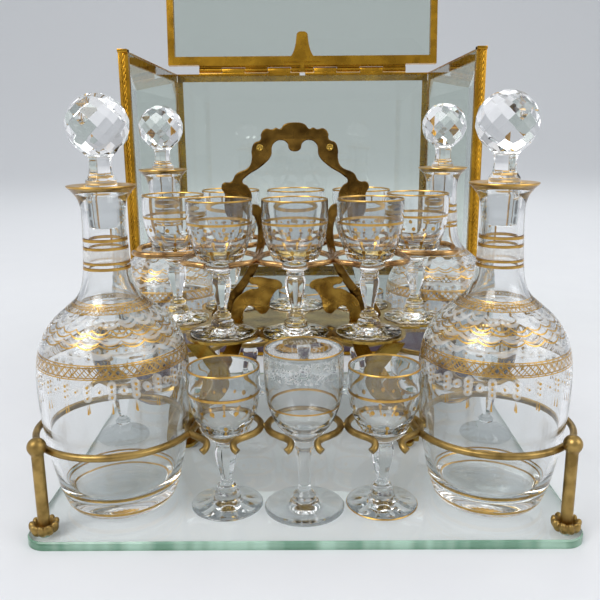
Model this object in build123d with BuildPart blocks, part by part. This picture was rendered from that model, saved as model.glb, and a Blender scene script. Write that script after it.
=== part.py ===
from build123d import *
import os
from math import acos, atan2, cos, hypot, radians, sin

# Antique tantalus: a brass and glass case with a hinged lid, and in front of it the glass tray that
# is lifted out of it, with four decanters and sixteen small glasses in gilt wire rings and clips.
# Millimetres, +Z up, the table at z = 0, the tray toward -Y. Heights that carry the word "up" are
# measured from the top of the tray's glass slab, and places on the tray from the slab's middle.

os.makedirs("parts", exist_ok=True)

# ---------------------------------------------------------------- tray and decanter sizes
tray_width = 302.0
tray_depth = 272.0
slab_thick = 7.5
slab_corner = 12.0
slab_polish = 0.8
foot_height = 3.0
foot_radius = 7.0

decanter_x = 108.5
decanter_y = 86.0
decanter_radius = 42.8
decanter_base_radius = 29.5
decanter_wall = 3.2
decanter_base_thick = 9.0
decanter_belly_up = 80.0
decanter_shoulder_up = 112.0
decanter_shoulder_radius = 31.0
neck_up = 133.0
neck_radius = 13.6
throat_up = 170.0
throat_radius = 11.7
lip_up = 184.5
lip_radius = 19.0
mouth_radius = 9.0
mouth_depth = 26.0
stopper_taper = 0.6
stopper_clearance = 0.1
stopper_ball_radius = 16.2
stopper_ball_up = 215.5
stopper_neck_radius = 6.0
stopper_collar_radius = 7.6

# ---------------------------------------------------------------- small glasses
glass_height = 85.0
glass_rim_radius = 20.6
glass_foot_radius = 21.0
glass_stem_height = 40.0
large_glass_height = 96.5
large_glass_rim_radius = 22.3
large_glass_foot_radius = 23.3
large_glass_stem_height = 45.0
glass_wall = 1.3
glass_foot_edge = 1.0
glass_knop_radius = 7.0
glass_neck_radius = 2.8
glass_bead_radius = 6.8
glass_stem_sides = 8

lower_row_x = 45.0
lower_row_y = 96.0
lower_centre_y = 99.5
lower_side_x = 129.0

# ---------------------------------------------------------------- lower wires
wire_radius = 2.0
wire_up = 46.0
ring_clearance = 0.6
touch = 0.05
clip_radius = 21.0
clip_pitch = 46.1
clip_row_y = 89.5
clip_mouth = 7.4
clip_reach = 27.0
clip_turn_down = 4.0
side_clip_x = 122.0
side_link_x = 106.5
post_radius = 3.25
post_angle = 49.8
post_ball_radius = 5.2
post_ball_up = 50.0
post_spigot_radius = 2.5
post_hole_clearance = 0.3
collar_radius = 8.5
collar_height = 12.0

# ---------------------------------------------------------------- stand with the upper glasses
stand_x = -5.0
shelf_up = 87.0
shelf_thick = 1.6
lobe_radius = 23.5
wing_radius = 21.8
upper_pitch = 46.5
upper_row_y = 37.0
upper_side_x = 81.0
pad_length = 42.0
pad_width = 15.0
pad_thick = 2.5
pad_x = 76.0
ribbon_width = 11.0
ribbon_thick = 2.5
ribbon_top_x = 62.0
ribbon_waist_x = 47.0
ribbon_foot_x = 78.0
ribbon_top_y = 56.0
ribbon_foot_y = 14.0
screw_radius = 1.5
screw_head_radius = 3.0
screw_head_height = 1.6
screw_spacing = 24.0
screw_clearance = 0.15

upper_wire_radius = 1.5
upper_wire_up = 135.0
upper_clip_radius = 21.7
upper_clip_row_y = 32.0
upper_clip_mouth = 7.2
upper_clip_reach = 27.5
upper_clip_turn_down = 3.0
braze_ball_radius = 3.2

handle_thick = 3.0
handle_leg_width = 5.0
handle_leg_x = 24.0
handle_stud_radius = 2.4
handle_stud_height = 0.9
bracket_thick = 2.0
bracket_gap = 5.0

# ---------------------------------------------------------------- case and lid
case_gap = 59.0
case_width = 332.0
case_depth = 290.0
case_top = 296.0
case_foot_height = 8.0
case_foot_radius = 11.0
case_foot_inset = 22.0
plinth_height = 26.0
band_height = 3.0
band_thick = 2.0
mirror_thick = 3.0
rail_width = 4.5
rail_height = 9.5
rail_leg = 2.0
rail_flange = 1.5
front_post_size = 9.0
front_post_block = 10.0
rope_radius = 4.3
back_post_width = 11.0
pane_edge = 2.0
pane_middle = 4.0
pane_bevel = 22.0
pane_gap = 0.1
mirror_side_gap = 0.2

lid_width = 346.0
lid_depth = 296.0
lid_thick = 9.0
lid_side_bar = 8.5
lid_end_bar = 10.4
lid_groove_depth = 4.0
lid_groove_width = 2.3
lid_open_angle = 95.0
lid_seat_gap = 0.3
hinge_back = 3.5
hinge_up = 5.0
lid_hinge_gap = 6.3
hinge_length = 267.0
knuckle_count = 9
knuckle_gap = 0.4
knuckle_radius = 3.2
pin_radius = 1.2
pin_clearance = 0.05
leaf_thick = 1.2
leaf_depth = 22.0
leaf_web = 1.5
lid_stop_thick = 2.0
lid_stop_length = 37.0
lid_stop_half_width = 23.5
tongue_width = 5.0
tongue_thick = 1.5
tongue_reach = 3.5
notch_width = 7.0
notch_depth = 2.2

# ---------------------------------------------------------------- places worked out from the sizes
lid_bottom = lid_seat_gap - hinge_up
lid_top = lid_bottom + lid_thick
open_angle = radians(lid_open_angle)
lid_lean = -(lid_hinge_gap + lid_depth) * cos(open_angle) + lid_top * sin(open_angle)
total_depth = tray_depth + case_gap + case_depth + hinge_back + lid_lean

front_y = -total_depth / 2
tray_y = front_y + tray_depth / 2
slab_top = foot_height + slab_thick
case_front = front_y + tray_depth + case_gap
case_back = case_front + case_depth
case_y = (case_front + case_back) / 2
case_floor = case_foot_height + plinth_height
hinge_y = case_back + hinge_back
hinge_z = case_top + hinge_up

ring_radius = decanter_radius + ring_clearance + wire_radius
ring_outer = ring_radius + wire_radius
post_ball_drop = post_ball_up - wire_up
post_ball_reach = ((wire_radius + post_ball_radius + touch) ** 2 - post_ball_drop ** 2) ** 0.5
post_reach = ring_radius + post_ball_reach
post_x = decanter_x + post_reach * cos(radians(post_angle))
post_y = decanter_y + post_reach * sin(radians(post_angle))
shelf_under = shelf_up - shelf_thick

tray_plane = Plane(origin=(0, tray_y, slab_top))
stand_plane = Plane(origin=(stand_x, tray_y, slab_top))
hinge_plane = Plane(origin=(0, hinge_y, hinge_z))
lid_plane = Plane(
    origin=(0, hinge_y, hinge_z),
    x_dir=(1, 0, 0),
    z_dir=(0, sin(open_angle), cos(open_angle)),
)


def on_tray(x, y, up=0.0):
    """A place on the tray, from the middle of the slab's top face."""
    return (x, tray_y + y, slab_top + up)


def on_stand(x, y, up=0.0):
    """A place on the stand, whose middle is a little left of the tray's."""
    return (stand_x + x, tray_y + y, slab_top + up)


def front_view(x, y, thick):
    """A plane seen from the front at y on the tray, so that a sketch on it grows thick toward -Y."""
    return Plane(origin=(x, tray_y + y + thick / 2, slab_top), x_dir=(1, 0, 0), z_dir=(0, -1, 0))


# ================================================================ tray: slab, feet and posts
post_places = [(sx * post_x, sy * post_y) for sx in (-1, 1) for sy in (-1, 1)]
screw_places = [
    (stand_x + sx * pad_x, sy * screw_spacing / 2) for sx in (-1, 1) for sy in (-1, 1)
]

with BuildPart() as tray_slab:
    with BuildSketch(tray_plane.offset(-slab_thick)):
        RectangleRounded(tray_width, tray_depth, slab_corner)
    extrude(amount=slab_thick)
    chamfer(tray_slab.faces().filter_by(Axis.Z).edges(), slab_polish)
    with BuildSketch(tray_plane.offset(-slab_thick)):
        with Locations(*post_places):
            Circle(post_spigot_radius + post_hole_clearance)
        with Locations(*screw_places):
            Circle(screw_radius + screw_clearance)
    extrude(amount=slab_thick, mode=Mode.SUBTRACT)
tray_slab.part.label = "tray_slab"
export_step(tray_slab.part, "parts/tray_slab.step")

with BuildPart() as tray_feet:
    with BuildSketch(tray_plane.offset(-slab_top)):
        with Locations(*post_places):
            Circle(foot_radius)
    extrude(amount=foot_height)
tray_feet.part.label = "tray_feet"
export_step(tray_feet.part, "parts/tray_feet.step")

# A corner post: its spigot goes down through the slab to the foot, two cast beads make the knotted
# collar at its base, and a ball finishes it above the wires.
with BuildPart() as corner_post:
    with BuildSketch(Plane.XZ):
        with BuildLine():
            Polyline(
                (0, -slab_thick),
                (post_spigot_radius, -slab_thick),
                (post_spigot_radius, 0),
                (collar_radius * 0.8, 0),
            )
            ThreePointArc(
                (collar_radius * 0.8, 0),
                (collar_radius, collar_height * 0.28),
                (collar_radius * 0.7, collar_height * 0.55),
            )
            ThreePointArc(
                (collar_radius * 0.7, collar_height * 0.55),
                (collar_radius * 0.78, collar_height * 0.8),
                (post_radius, collar_height),
            )
            Line((post_radius, collar_height), (post_radius, post_ball_up - post_ball_radius * 0.75))
            Line((post_radius, post_ball_up - post_ball_radius * 0.75), (0, post_ball_up))
            Line((0, post_ball_up), (0, -slab_thick))
        make_face()
    revolve(axis=Axis.Z)
    with Locations((0, 0, post_ball_up)):
        Sphere(post_ball_radius)

with BuildPart() as corner_posts:
    with Locations(*[on_tray(x, y) for x, y in post_places]):
        add(corner_post.part)
corner_posts.part.label = "corner_posts"
export_step(corner_posts.part, "parts/corner_posts.step")


# ================================================================ tray: lower wires
def clip_wire(radius, wire, mouth, reach, turn_down):
    """A horseshoe clip that opens toward -Y: an arc, and two arms that close in and turn down."""
    tangent = atan2(mouth, reach) + acos(radius / hypot(mouth, reach))
    side = radius * sin(tangent)
    front = -radius * cos(tangent)
    bend = 1.5 * wire
    with BuildPart() as clip:
        with BuildLine() as route:
            left_peg = (-mouth, -reach, -turn_down)
            right_peg = (mouth, -reach, -turn_down)
            FilletPolyline(left_peg, (-mouth, -reach, 0), (-side, front, 0), radius=bend)
            ThreePointArc((-side, front, 0), (0, radius, 0), (side, front, 0))
            FilletPolyline((side, front, 0), (mouth, -reach, 0), right_peg, radius=bend)
        with BuildSketch(Plane(origin=left_peg)):
            Circle(wire)
        sweep(path=route.wire())
    return clip.part


lower_clip = clip_wire(clip_radius, wire_radius, clip_mouth, clip_reach, clip_turn_down)
upper_clip = clip_wire(
    upper_clip_radius, upper_wire_radius, upper_clip_mouth, upper_clip_reach, upper_clip_turn_down
)

corners = {"fl": (-1, -1), "fr": (1, -1), "bl": (-1, 1), "br": (1, 1)}
ring_places = [(sx * decanter_x, sy * decanter_y) for sx, sy in corners.values()]

for corner, (sx, sy) in corners.items():
    with BuildPart() as decanter_ring:
        ring_middle = on_tray(sx * decanter_x, sy * decanter_y, wire_up)
        with BuildSketch(Plane(origin=ring_middle, x_dir=(1, 0, 0), z_dir=(0, -1, 0))):
            with Locations((ring_radius, 0)):
                Circle(wire_radius)
        revolve(axis=Axis(ring_middle, (0, 0, 1)))
    decanter_ring.part.label = f"decanter_ring_{corner}"
    export_step(decanter_ring.part, f"parts/decanter_ring_{corner}.step")

# The outer clips of each row end on the decanter rings that they are brazed to.
for side, sy, turn in (("front", -1, 0), ("back", 1, 180)):
    with BuildPart() as lower_clips:
        with Locations(
            *[
                Location(on_tray(x, sy * clip_row_y, wire_up), (0, 0, turn))
                for x in (-clip_pitch, 0, clip_pitch)
            ]
        ):
            add(lower_clip)
        with BuildSketch(tray_plane.offset(wire_up + wire_radius)):
            with Locations(*ring_places):
                Circle(ring_outer + touch)
        extrude(amount=-(clip_turn_down + 2 * wire_radius), mode=Mode.SUBTRACT)
    lower_clips.part.label = f"lower_clips_{side}"
    export_step(lower_clips.part, f"parts/lower_clips_{side}.step")

link_drop = (clip_radius ** 2 - (side_clip_x - side_link_x) ** 2) ** 0.5
link_end = decanter_y - (ring_radius ** 2 - (decanter_x - side_link_x) ** 2) ** 0.5
with BuildPart() as lower_side_clips:
    for sx, turn in ((-1, -90), (1, 90)):
        with Locations(Location(on_tray(sx * side_clip_x, 0, wire_up), (0, 0, turn))):
            add(lower_clip)
        for sy in (-1, 1):
            link_start = on_tray(sx * side_link_x, sy * link_drop, wire_up)
            with BuildSketch(Plane(origin=link_start, z_dir=(0, sy, 0))):
                Circle(wire_radius)
            extrude(amount=link_end - link_drop)
    with BuildSketch(tray_plane.offset(wire_up + wire_radius)):
        with Locations(*ring_places):
            Circle(ring_outer + touch)
    extrude(amount=-2 * wire_radius, mode=Mode.SUBTRACT)
lower_side_clips.part.label = "lower_side_clips"
export_step(lower_side_clips.part, "parts/lower_side_clips.step")

# ================================================================ stand: legs, screws and shelf
# Each side of the stand is an oval pad with two flat ribbon legs, cut in an S from a leaning plate.
ribbon_rise = shelf_under - pad_thick
ribbon_run = ribbon_top_y - ribbon_foot_y
ribbon_length = hypot(ribbon_rise, ribbon_run)
ribbon_overrun = 6.0

with BuildPart() as ribbon_leg:
    leaning = Plane(
        origin=(0, -ribbon_foot_y, pad_thick),
        x_dir=(1, 0, 0),
        z_dir=(0, -ribbon_rise, -ribbon_run),
    )
    with BuildSketch(leaning):
        with BuildLine():
            Spline(
                (ribbon_foot_x, -ribbon_overrun),
                (ribbon_foot_x - 1, ribbon_length * 0.14),
                (ribbon_waist_x + 12, ribbon_length * 0.42),
                (ribbon_waist_x, ribbon_length * 0.68),
                (ribbon_top_x - 5, ribbon_length * 0.92),
                (ribbon_top_x + 1, ribbon_length + ribbon_overrun),
            )
        trace(line_width=ribbon_width)
    extrude(amount=ribbon_thick / 2, both=True)
    split(bisect_by=Plane.XY.offset(shelf_under), keep=Keep.BOTTOM)
    split(bisect_by=Plane.XY.offset(pad_thick / 2), keep=Keep.TOP)

with BuildPart() as half_stand:
    add(ribbon_leg.part)
    mirror(about=Plane.XZ)
    with BuildSketch(Plane.XY):
        with Locations((pad_x, 0)):
            Ellipse(pad_width / 2, pad_length / 2)
    extrude(amount=pad_thick)
    with Locations(*[(pad_x, sy * screw_spacing / 2, pad_thick) for sy in (-1, 1)]):
        Hole(screw_radius + screw_clearance, depth=2 * pad_thick)

with BuildPart() as ribbon_legs:
    with Locations(Location(on_stand(0, 0)), Location(on_stand(0, 0), (0, 0, 180))):
        add(half_stand.part)
ribbon_legs.part.label = "ribbon_legs"
export_step(ribbon_legs.part, "parts/ribbon_legs.step")

with BuildPart() as stand_screws:
    with BuildSketch(tray_plane.offset(-slab_thick - screw_head_height)):
        with Locations(*screw_places):
            Circle(screw_head_radius)
    extrude(amount=screw_head_height)
    with BuildSketch(tray_plane.offset(-slab_thick)):
        with Locations(*screw_places):
            Circle(screw_radius)
    extrude(amount=slab_thick + pad_thick)
stand_screws.part.label = "stand_screws"
export_step(stand_screws.part, "parts/stand_screws.step")

upper_glass_places = (
    [(x, -upper_row_y) for x in (-upper_pitch, 0, upper_pitch)]
    + [(x, upper_row_y) for x in (-upper_pitch, 0, upper_pitch)]
    + [(-upper_side_x, 0), (upper_side_x, 0)]
)

with BuildPart() as glass_shelf:
    with BuildSketch(stand_plane.offset(shelf_under)):
        with Locations(*upper_glass_places[:6]):
            Circle(lobe_radius)
        with Locations(*upper_glass_places[6:]):
            Circle(wing_radius)
        Rectangle(2 * upper_side_x, 2 * upper_row_y - lobe_radius)
    extrude(amount=shelf_thick)
glass_shelf.part.label = "glass_shelf"
export_step(glass_shelf.part, "parts/glass_shelf.step")

# ================================================================ stand: upper wires
# Each row of clips is held on the two slender legs of the handle by a short wire.
leg_face = handle_thick / 2
joint_x = (upper_pitch + upper_side_x) / 2
joint_y = upper_clip_row_y / 2
link_x = upper_pitch / 2

for side, sy, turn in (("front", -1, 0), ("back", 1, 180)):
    with BuildPart() as upper_clips:
        with Locations(
            *[
                Location(on_stand(x, sy * upper_clip_row_y, upper_wire_up), (0, 0, turn))
                for x in (-upper_pitch, 0, upper_pitch)
            ]
        ):
            add(upper_clip)
        for sx in (-1, 1):
            link_start = on_stand(sx * link_x, sy * leg_face, upper_wire_up)
            with BuildSketch(Plane(origin=link_start, z_dir=(0, sy, 0))):
                Circle(upper_wire_radius)
            extrude(amount=upper_clip_row_y - leg_face)
            with Locations(on_stand(sx * joint_x, sy * joint_y, upper_wire_up)):
                Sphere(braze_ball_radius)
    upper_clips.part.label = f"upper_clips_{side}"
    export_step(upper_clips.part, f"parts/upper_clips_{side}.step")

with BuildPart() as upper_side_clips:
    with Locations(
        Location(on_stand(-upper_side_x, 0, upper_wire_up), (0, 0, -90)),
        Location(on_stand(upper_side_x, 0, upper_wire_up), (0, 0, 90)),
    ):
        add(upper_clip)
    with Locations(
        *[
            on_stand(sx * joint_x, sy * joint_y, upper_wire_up)
            for sx in (-1, 1)
            for sy in (-1, 1)
        ]
    ):
        Sphere(braze_ball_radius + touch, mode=Mode.SUBTRACT)
upper_side_clips.part.label = "upper_side_clips"
export_step(upper_side_clips.part, "parts/upper_side_clips.step")

# ================================================================ stand: carrying handle
# The handle is one fretted plate, cut alike on both sides of its middle: a domed crest with a
# pendant lobe, two studs, arms that end in curls, and slender legs that spread onto the shelf.
with BuildPart() as carrying_handle:
    with BuildSketch(front_view(stand_x, 0, handle_thick)) as handle_outline:
        with BuildLine():
            ThreePointArc((0, 217.5), (6.6, 216.3), (9.8, 213.2))
            ThreePointArc((9.8, 213.2), (12.0, 214.0), (14.2, 213.0))
            ThreePointArc((14.2, 213.0), (20.4, 211.9), (21.8, 206.8))
            ThreePointArc((21.8, 206.8), (27.4, 202.6), (28.2, 194.5))
            Spline((28.2, 194.5), (30.0, 189.6), (38.8, 184.8), (41.8, 179.8))
            ThreePointArc((41.8, 179.8), (49.4, 177.0), (47.0, 173.1))
            Polyline((47.0, 173.1), (46.2, 160.0), (42.0, 154.0), (33.0, 154.0))
            Line((33.0, 154.0), (31.4, 163.8))
            ThreePointArc((31.4, 163.8), (28.2, 170.0), (31.8, 176.9))
            ThreePointArc((31.8, 176.9), (35.2, 179.6), (32.4, 182.8))
            Spline((32.4, 182.8), (21.6, 189.8), (15.6, 196.2), (14.2, 203.4))
            ThreePointArc((14.2, 203.4), (9.2, 206.4), (4.6, 203.6))
            ThreePointArc((4.6, 203.6), (3.6, 200.4), (0, 199.0))
            Line((0, 199.0), (0, 217.5))
        make_face()
        with BuildLine():
            Polyline(
                (33.0, 161.0),
                (handle_leg_x + handle_leg_width / 2, 166.0),
                (handle_leg_x - handle_leg_width / 2, 162.0),
                (handle_leg_x - handle_leg_width / 2, 134.0),
            )
            Spline(
                (handle_leg_x - handle_leg_width / 2, 134.0),
                (27.5, 119.0),
                (36.0, 106.0),
                (45.0, shelf_up + 3.0),
            )
            Polyline((45.0, shelf_up + 3.0), (45.0, shelf_up), (58.5, shelf_up), (57.5, shelf_up + 5.0))
            Spline(
                (57.5, shelf_up + 5.0),
                (41.0, 109.5),
                (33.0, 121.0),
                (handle_leg_x + handle_leg_width / 2, 136.0),
            )
            Line(
                (handle_leg_x + handle_leg_width / 2, 136.0),
                (handle_leg_x + handle_leg_width / 2, 156.0),
            )
            Line((handle_leg_x + handle_leg_width / 2, 156.0), (33.0, 161.0))
        make_face()
        mirror(about=Plane.YZ)
    extrude(amount=handle_thick)
    with BuildSketch(front_view(stand_x, 0, handle_thick + 2 * handle_stud_height)):
        with Locations((-22.7, 201.6), (22.7, 201.6)):
            Circle(handle_stud_radius)
    extrude(amount=handle_thick + 2 * handle_stud_height)
carrying_handle.part.label = "carrying_handle"
export_step(carrying_handle.part, "parts/carrying_handle.step")

# A pair of leaf scrolls stands on the shelf, just in front of the handle.
with BuildPart() as leaf_brackets:
    with BuildSketch(front_view(stand_x, -bracket_gap - handle_thick / 2, bracket_thick)):
        with BuildLine():
            Line((46.0, shelf_up), (44.4, shelf_up + 4.0))
            ThreePointArc((44.4, shelf_up + 4.0), (41.4, 101.0), (35.0, 106.6))
            ThreePointArc((35.0, 106.6), (30.0, 108.8), (24.5, 109.6))
            Polyline((24.5, 109.6), (25.0, 111.4), (30.0, 112.0))
            ThreePointArc((30.0, 112.0), (31.9, 114.8), (29.0, 117.2))
            ThreePointArc((29.0, 117.2), (19.0, 116.4), (9.0, 112.6))
            ThreePointArc((9.0, 112.6), (9.0, 109.4), (12.4, 108.6))
            ThreePointArc((12.4, 108.6), (17.2, 101.5), (18.4, 93.6))
            ThreePointArc((18.4, 93.6), (22.8, 91.0), (27.4, 94.6))
            ThreePointArc((27.4, 94.6), (31.2, 97.6), (34.8, 95.0))
            Polyline((34.8, 95.0), (36.6, shelf_up + 3.4), (35.6, shelf_up), (46.0, shelf_up))
        make_face()
        mirror(about=Plane.YZ)
    extrude(amount=bracket_thick)
leaf_brackets.part.label = "leaf_brackets"
export_step(leaf_brackets.part, "parts/leaf_brackets.step")

# ================================================================ decanters and stoppers
mouth_bottom_radius = mouth_radius - stopper_taper
with BuildPart() as decanter_form:
    with BuildSketch(Plane.XZ):
        with BuildLine():
            Polyline(
                (0, 0),
                (decanter_base_radius - 2, 0),
                (decanter_base_radius, 1.5),
                (34.4, 10),
                (38.4, 30),
                (41.8, 54),
                (decanter_radius, decanter_belly_up),
            )
            ThreePointArc(
                (decanter_radius, decanter_belly_up),
                (39.9, 98),
                (decanter_shoulder_radius, decanter_shoulder_up),
            )
            ThreePointArc(
                (decanter_shoulder_radius, decanter_shoulder_up),
                (19.4, 121.3),
                (neck_radius, neck_up),
            )
            Line((neck_radius, neck_up), (throat_radius, throat_up))
            Spline((throat_radius, throat_up), (14.4, 179.5), (lip_radius, lip_up - 1.5))
            Polyline(
                (lip_radius, lip_up - 1.5),
                (lip_radius, lip_up),
                (mouth_radius, lip_up),
                (mouth_bottom_radius, lip_up - mouth_depth),
                (neck_radius - decanter_wall, neck_up),
                (decanter_shoulder_radius - 2 * decanter_wall, decanter_shoulder_up - decanter_wall),
                (decanter_radius - decanter_wall, decanter_belly_up + 6),
                (decanter_radius - decanter_wall, 54),
                (decanter_base_radius, decanter_base_thick),
                (0, decanter_base_thick),
                (0, 0),
            )
        make_face()
    revolve(axis=Axis.Z)

# The stopper's ball is cut with flat facets in staggered rows, each plane at the same depth.
facet_rows = ((62, 6, 0), (30, 9, 20), (0, 9, 0), (-32, 9, 20))
with BuildPart() as stopper_form:
    with Locations((0, 0, stopper_ball_up)):
        Sphere(stopper_ball_radius * 1.15)
    for tilt, count, start in facet_rows:
        for step in range(count):
            around = radians(start + 360 * step / count)
            level = cos(radians(tilt))
            outward = Vector(level * cos(around), level * sin(around), sin(radians(tilt)))
            cut = Vector(0, 0, stopper_ball_up) + outward * stopper_ball_radius
            split(bisect_by=Plane(origin=cut, z_dir=outward), keep=Keep.BOTTOM)
    split(bisect_by=Plane.XY.offset(stopper_ball_up + stopper_ball_radius * 0.94), keep=Keep.BOTTOM)
    split(bisect_by=Plane.XY.offset(stopper_ball_up - stopper_ball_radius * 0.94), keep=Keep.TOP)
    with BuildSketch(Plane.XZ):
        with BuildLine():
            Polyline(
                (0, lip_up - mouth_depth + 2),
                (mouth_bottom_radius - stopper_clearance, lip_up - mouth_depth + 2),
                (mouth_radius - stopper_clearance, lip_up),
                (stopper_collar_radius, lip_up + 2),
                (stopper_collar_radius, lip_up + 6),
                (stopper_neck_radius, lip_up + 12),
                (stopper_neck_radius + 2, stopper_ball_up - stopper_ball_radius * 0.9),
                (0, stopper_ball_up - stopper_ball_radius * 0.9),
                (0, lip_up - mouth_depth + 2),
            )
        make_face()
    revolve(axis=Axis.Z)

for corner, (sx, sy) in corners.items():
    with BuildPart() as decanter:
        with Locations(on_tray(sx * decanter_x, sy * decanter_y)):
            add(decanter_form.part)
    decanter.part.label = f"decanter_{corner}"
    export_step(decanter.part, f"parts/decanter_{corner}.step")
    with BuildPart() as stopper:
        with Locations(on_tray(sx * decanter_x, sy * decanter_y)):
            add(stopper_form.part)
    stopper.part.label = f"stopper_{corner}"
    export_step(stopper.part, f"parts/stopper_{corner}.step")


# ================================================================ glasses
def glass_form(height, rim, foot, stem):
    """A small footed glass: a flat cone foot, a stem cut in flat facets, and a rounded bowl."""
    bowl = height - stem
    with BuildPart() as glass:
        with BuildSketch(Plane.XZ):
            with BuildLine():
                Polyline(
                    (0, 0),
                    (foot, 0),
                    (foot, glass_foot_edge),
                    (glass_knop_radius, 3.6),
                    (glass_knop_radius, 9.5),
                    (0, 9.5),
                    (0, 0),
                )
            make_face()
            with BuildLine():
                Polyline(
                    (0, stem),
                    (glass_bead_radius - 1, stem),
                    (rim * 0.58, stem + bowl * 0.1),
                    (rim * 0.9, stem + bowl * 0.42),
                    (rim, stem + bowl * 0.74),
                    (rim, height),
                    (rim - glass_wall, height),
                    (rim - glass_wall, stem + bowl * 0.72),
                    (rim * 0.9 - glass_wall * 1.5, stem + bowl * 0.44),
                    (0, stem + bowl * 0.2),
                    (0, stem),
                )
            make_face()
        revolve(axis=Axis.Z)
        stem_rings = (
            (9.5, glass_knop_radius - 0.6),
            (14.5, glass_neck_radius),
            (stem * 0.78, glass_bead_radius),
            (stem, glass_bead_radius - 1.2),
        )
        for level, radius in stem_rings:
            with BuildSketch(Plane.XY.offset(level)):
                RegularPolygon(radius, glass_stem_sides)
        loft(ruled=True)
    return glass.part


small_glass = glass_form(glass_height, glass_rim_radius, glass_foot_radius, glass_stem_height)
large_glass = glass_form(
    large_glass_height, large_glass_rim_radius, large_glass_foot_radius, large_glass_stem_height
)

lower_glasses = {
    "lower_glass_front_left": (-lower_row_x, -lower_row_y, small_glass),
    "lower_glass_front_centre": (0, -lower_centre_y, large_glass),
    "lower_glass_front_right": (lower_row_x, -lower_row_y, small_glass),
    "lower_glass_back_left": (-lower_row_x, lower_row_y, small_glass),
    "lower_glass_back_centre": (0, lower_centre_y, small_glass),
    "lower_glass_back_right": (lower_row_x, lower_row_y, small_glass),
    "lower_glass_side_left": (-lower_side_x, 0, small_glass),
    "lower_glass_side_right": (lower_side_x, 0, small_glass),
}
for name, (x, y, form) in lower_glasses.items():
    with BuildPart() as glass:
        with Locations(on_tray(x, y)):
            add(form)
    glass.part.label = name
    export_step(glass.part, f"parts/{name}.step")

upper_names = (
    "front_left",
    "front_centre",
    "front_right",
    "back_left",
    "back_centre",
    "back_right",
    "side_left",
    "side_right",
)
for place_name, (x, y) in zip(upper_names, upper_glass_places):
    with BuildPart() as glass:
        with Locations(on_stand(x, y, shelf_up)):
            add(small_glass)
    glass.part.label = f"upper_glass_{place_name}"
    export_step(glass.part, f"parts/upper_glass_{place_name}.step")

# ================================================================ case: plinth
half_width = case_width / 2
case_plane = Plane(origin=(0, case_y, 0))
foot_places = [
    (sx * (half_width - case_foot_inset), sy * (case_depth / 2 - case_foot_inset))
    for sx in (-1, 1)
    for sy in (-1, 1)
]

with BuildPart() as case_feet:
    with BuildSketch(case_plane):
        with Locations(*foot_places):
            Circle(case_foot_radius)
    extrude(amount=case_foot_height)
case_feet.part.label = "case_feet"
export_step(case_feet.part, "parts/case_feet.step")

with BuildPart() as plinth_panel:
    with BuildSketch(case_plane.offset(case_foot_height)):
        Rectangle(case_width - 2 * band_thick, case_depth - 2 * band_thick)
    extrude(amount=plinth_height)
plinth_panel.part.label = "plinth_panel"
export_step(plinth_panel.part, "parts/plinth_panel.step")

with BuildPart() as plinth_bands:
    for level in (case_foot_height, case_floor - band_height):
        with BuildSketch(case_plane.offset(level)):
            Rectangle(case_width, case_depth)
            Rectangle(case_width - 2 * band_thick, case_depth - 2 * band_thick, mode=Mode.SUBTRACT)
        extrude(amount=band_height)
plinth_bands.part.label = "plinth_bands"
export_step(plinth_bands.part, "parts/plinth_bands.step")

mirror_half = half_width - front_post_size - mirror_side_gap
mirror_back = case_back - rail_width - mirror_side_gap
with BuildPart() as case_floor_mirror:
    with BuildSketch(Plane.XY.offset(case_floor)):
        with Locations((0, (case_front + mirror_back) / 2)):
            Rectangle(2 * mirror_half, mirror_back - case_front)
    extrude(amount=mirror_thick)
case_floor_mirror.part.label = "case_floor_mirror"
export_step(case_floor_mirror.part, "parts/case_floor_mirror.step")

# ================================================================ case: posts and rails
front_post_x = half_width - front_post_size / 2
front_post_y = case_front + front_post_size / 2
with BuildPart() as front_post:
    with BuildSketch(Plane.XY.offset(case_floor)):
        Rectangle(front_post_size, front_post_size)
    extrude(amount=front_post_block)
    with BuildSketch(Plane.XY.offset(case_floor + front_post_block)):
        Circle(rope_radius)
    extrude(amount=case_top - case_floor - 2 * front_post_block)
    with BuildSketch(Plane.XY.offset(case_top - front_post_block)):
        Rectangle(front_post_size, front_post_size)
    extrude(amount=front_post_block)

with BuildPart() as front_rope_posts:
    with Locations((-front_post_x, front_post_y), (front_post_x, front_post_y)):
        add(front_post.part)
front_rope_posts.part.label = "front_rope_posts"
export_step(front_rope_posts.part, "parts/front_rope_posts.step")

with BuildPart() as back_posts:
    with BuildSketch(Plane.XY.offset(case_floor + rail_height)):
        for sx in (-1, 1):
            with Locations((sx * (half_width - back_post_width / 2), case_back - rail_leg / 2)):
                Rectangle(back_post_width, rail_leg)
            with Locations((sx * (half_width - rail_leg / 2), case_back - back_post_width / 2)):
                Rectangle(rail_leg, back_post_width)
    extrude(amount=case_top - case_floor - 2 * rail_height)
back_posts.part.label = "back_posts"
export_step(back_posts.part, "parts/back_posts.step")

# The rails are brass angle: an upright leg outside the pane, and a flange over or under its edge.
rail_levels = (
    (case_floor, case_floor),
    (case_top - rail_height, case_top - rail_flange),
)
side_rail_front = case_front + front_post_size
side_rail_length = case_back - side_rail_front
side_rail_y = (case_back + side_rail_front) / 2
with BuildPart() as side_rails:
    for leg_level, flange_level in rail_levels:
        with BuildSketch(Plane.XY.offset(leg_level)):
            for sx in (-1, 1):
                with Locations((sx * (half_width - rail_leg / 2), side_rail_y)):
                    Rectangle(rail_leg, side_rail_length)
        extrude(amount=rail_height)
        with BuildSketch(Plane.XY.offset(flange_level)):
            for sx in (-1, 1):
                with Locations((sx * (half_width - rail_width / 2), side_rail_y)):
                    Rectangle(rail_width, side_rail_length)
        extrude(amount=rail_flange)
side_rails.part.label = "side_rails"
export_step(side_rails.part, "parts/side_rails.step")

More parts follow.
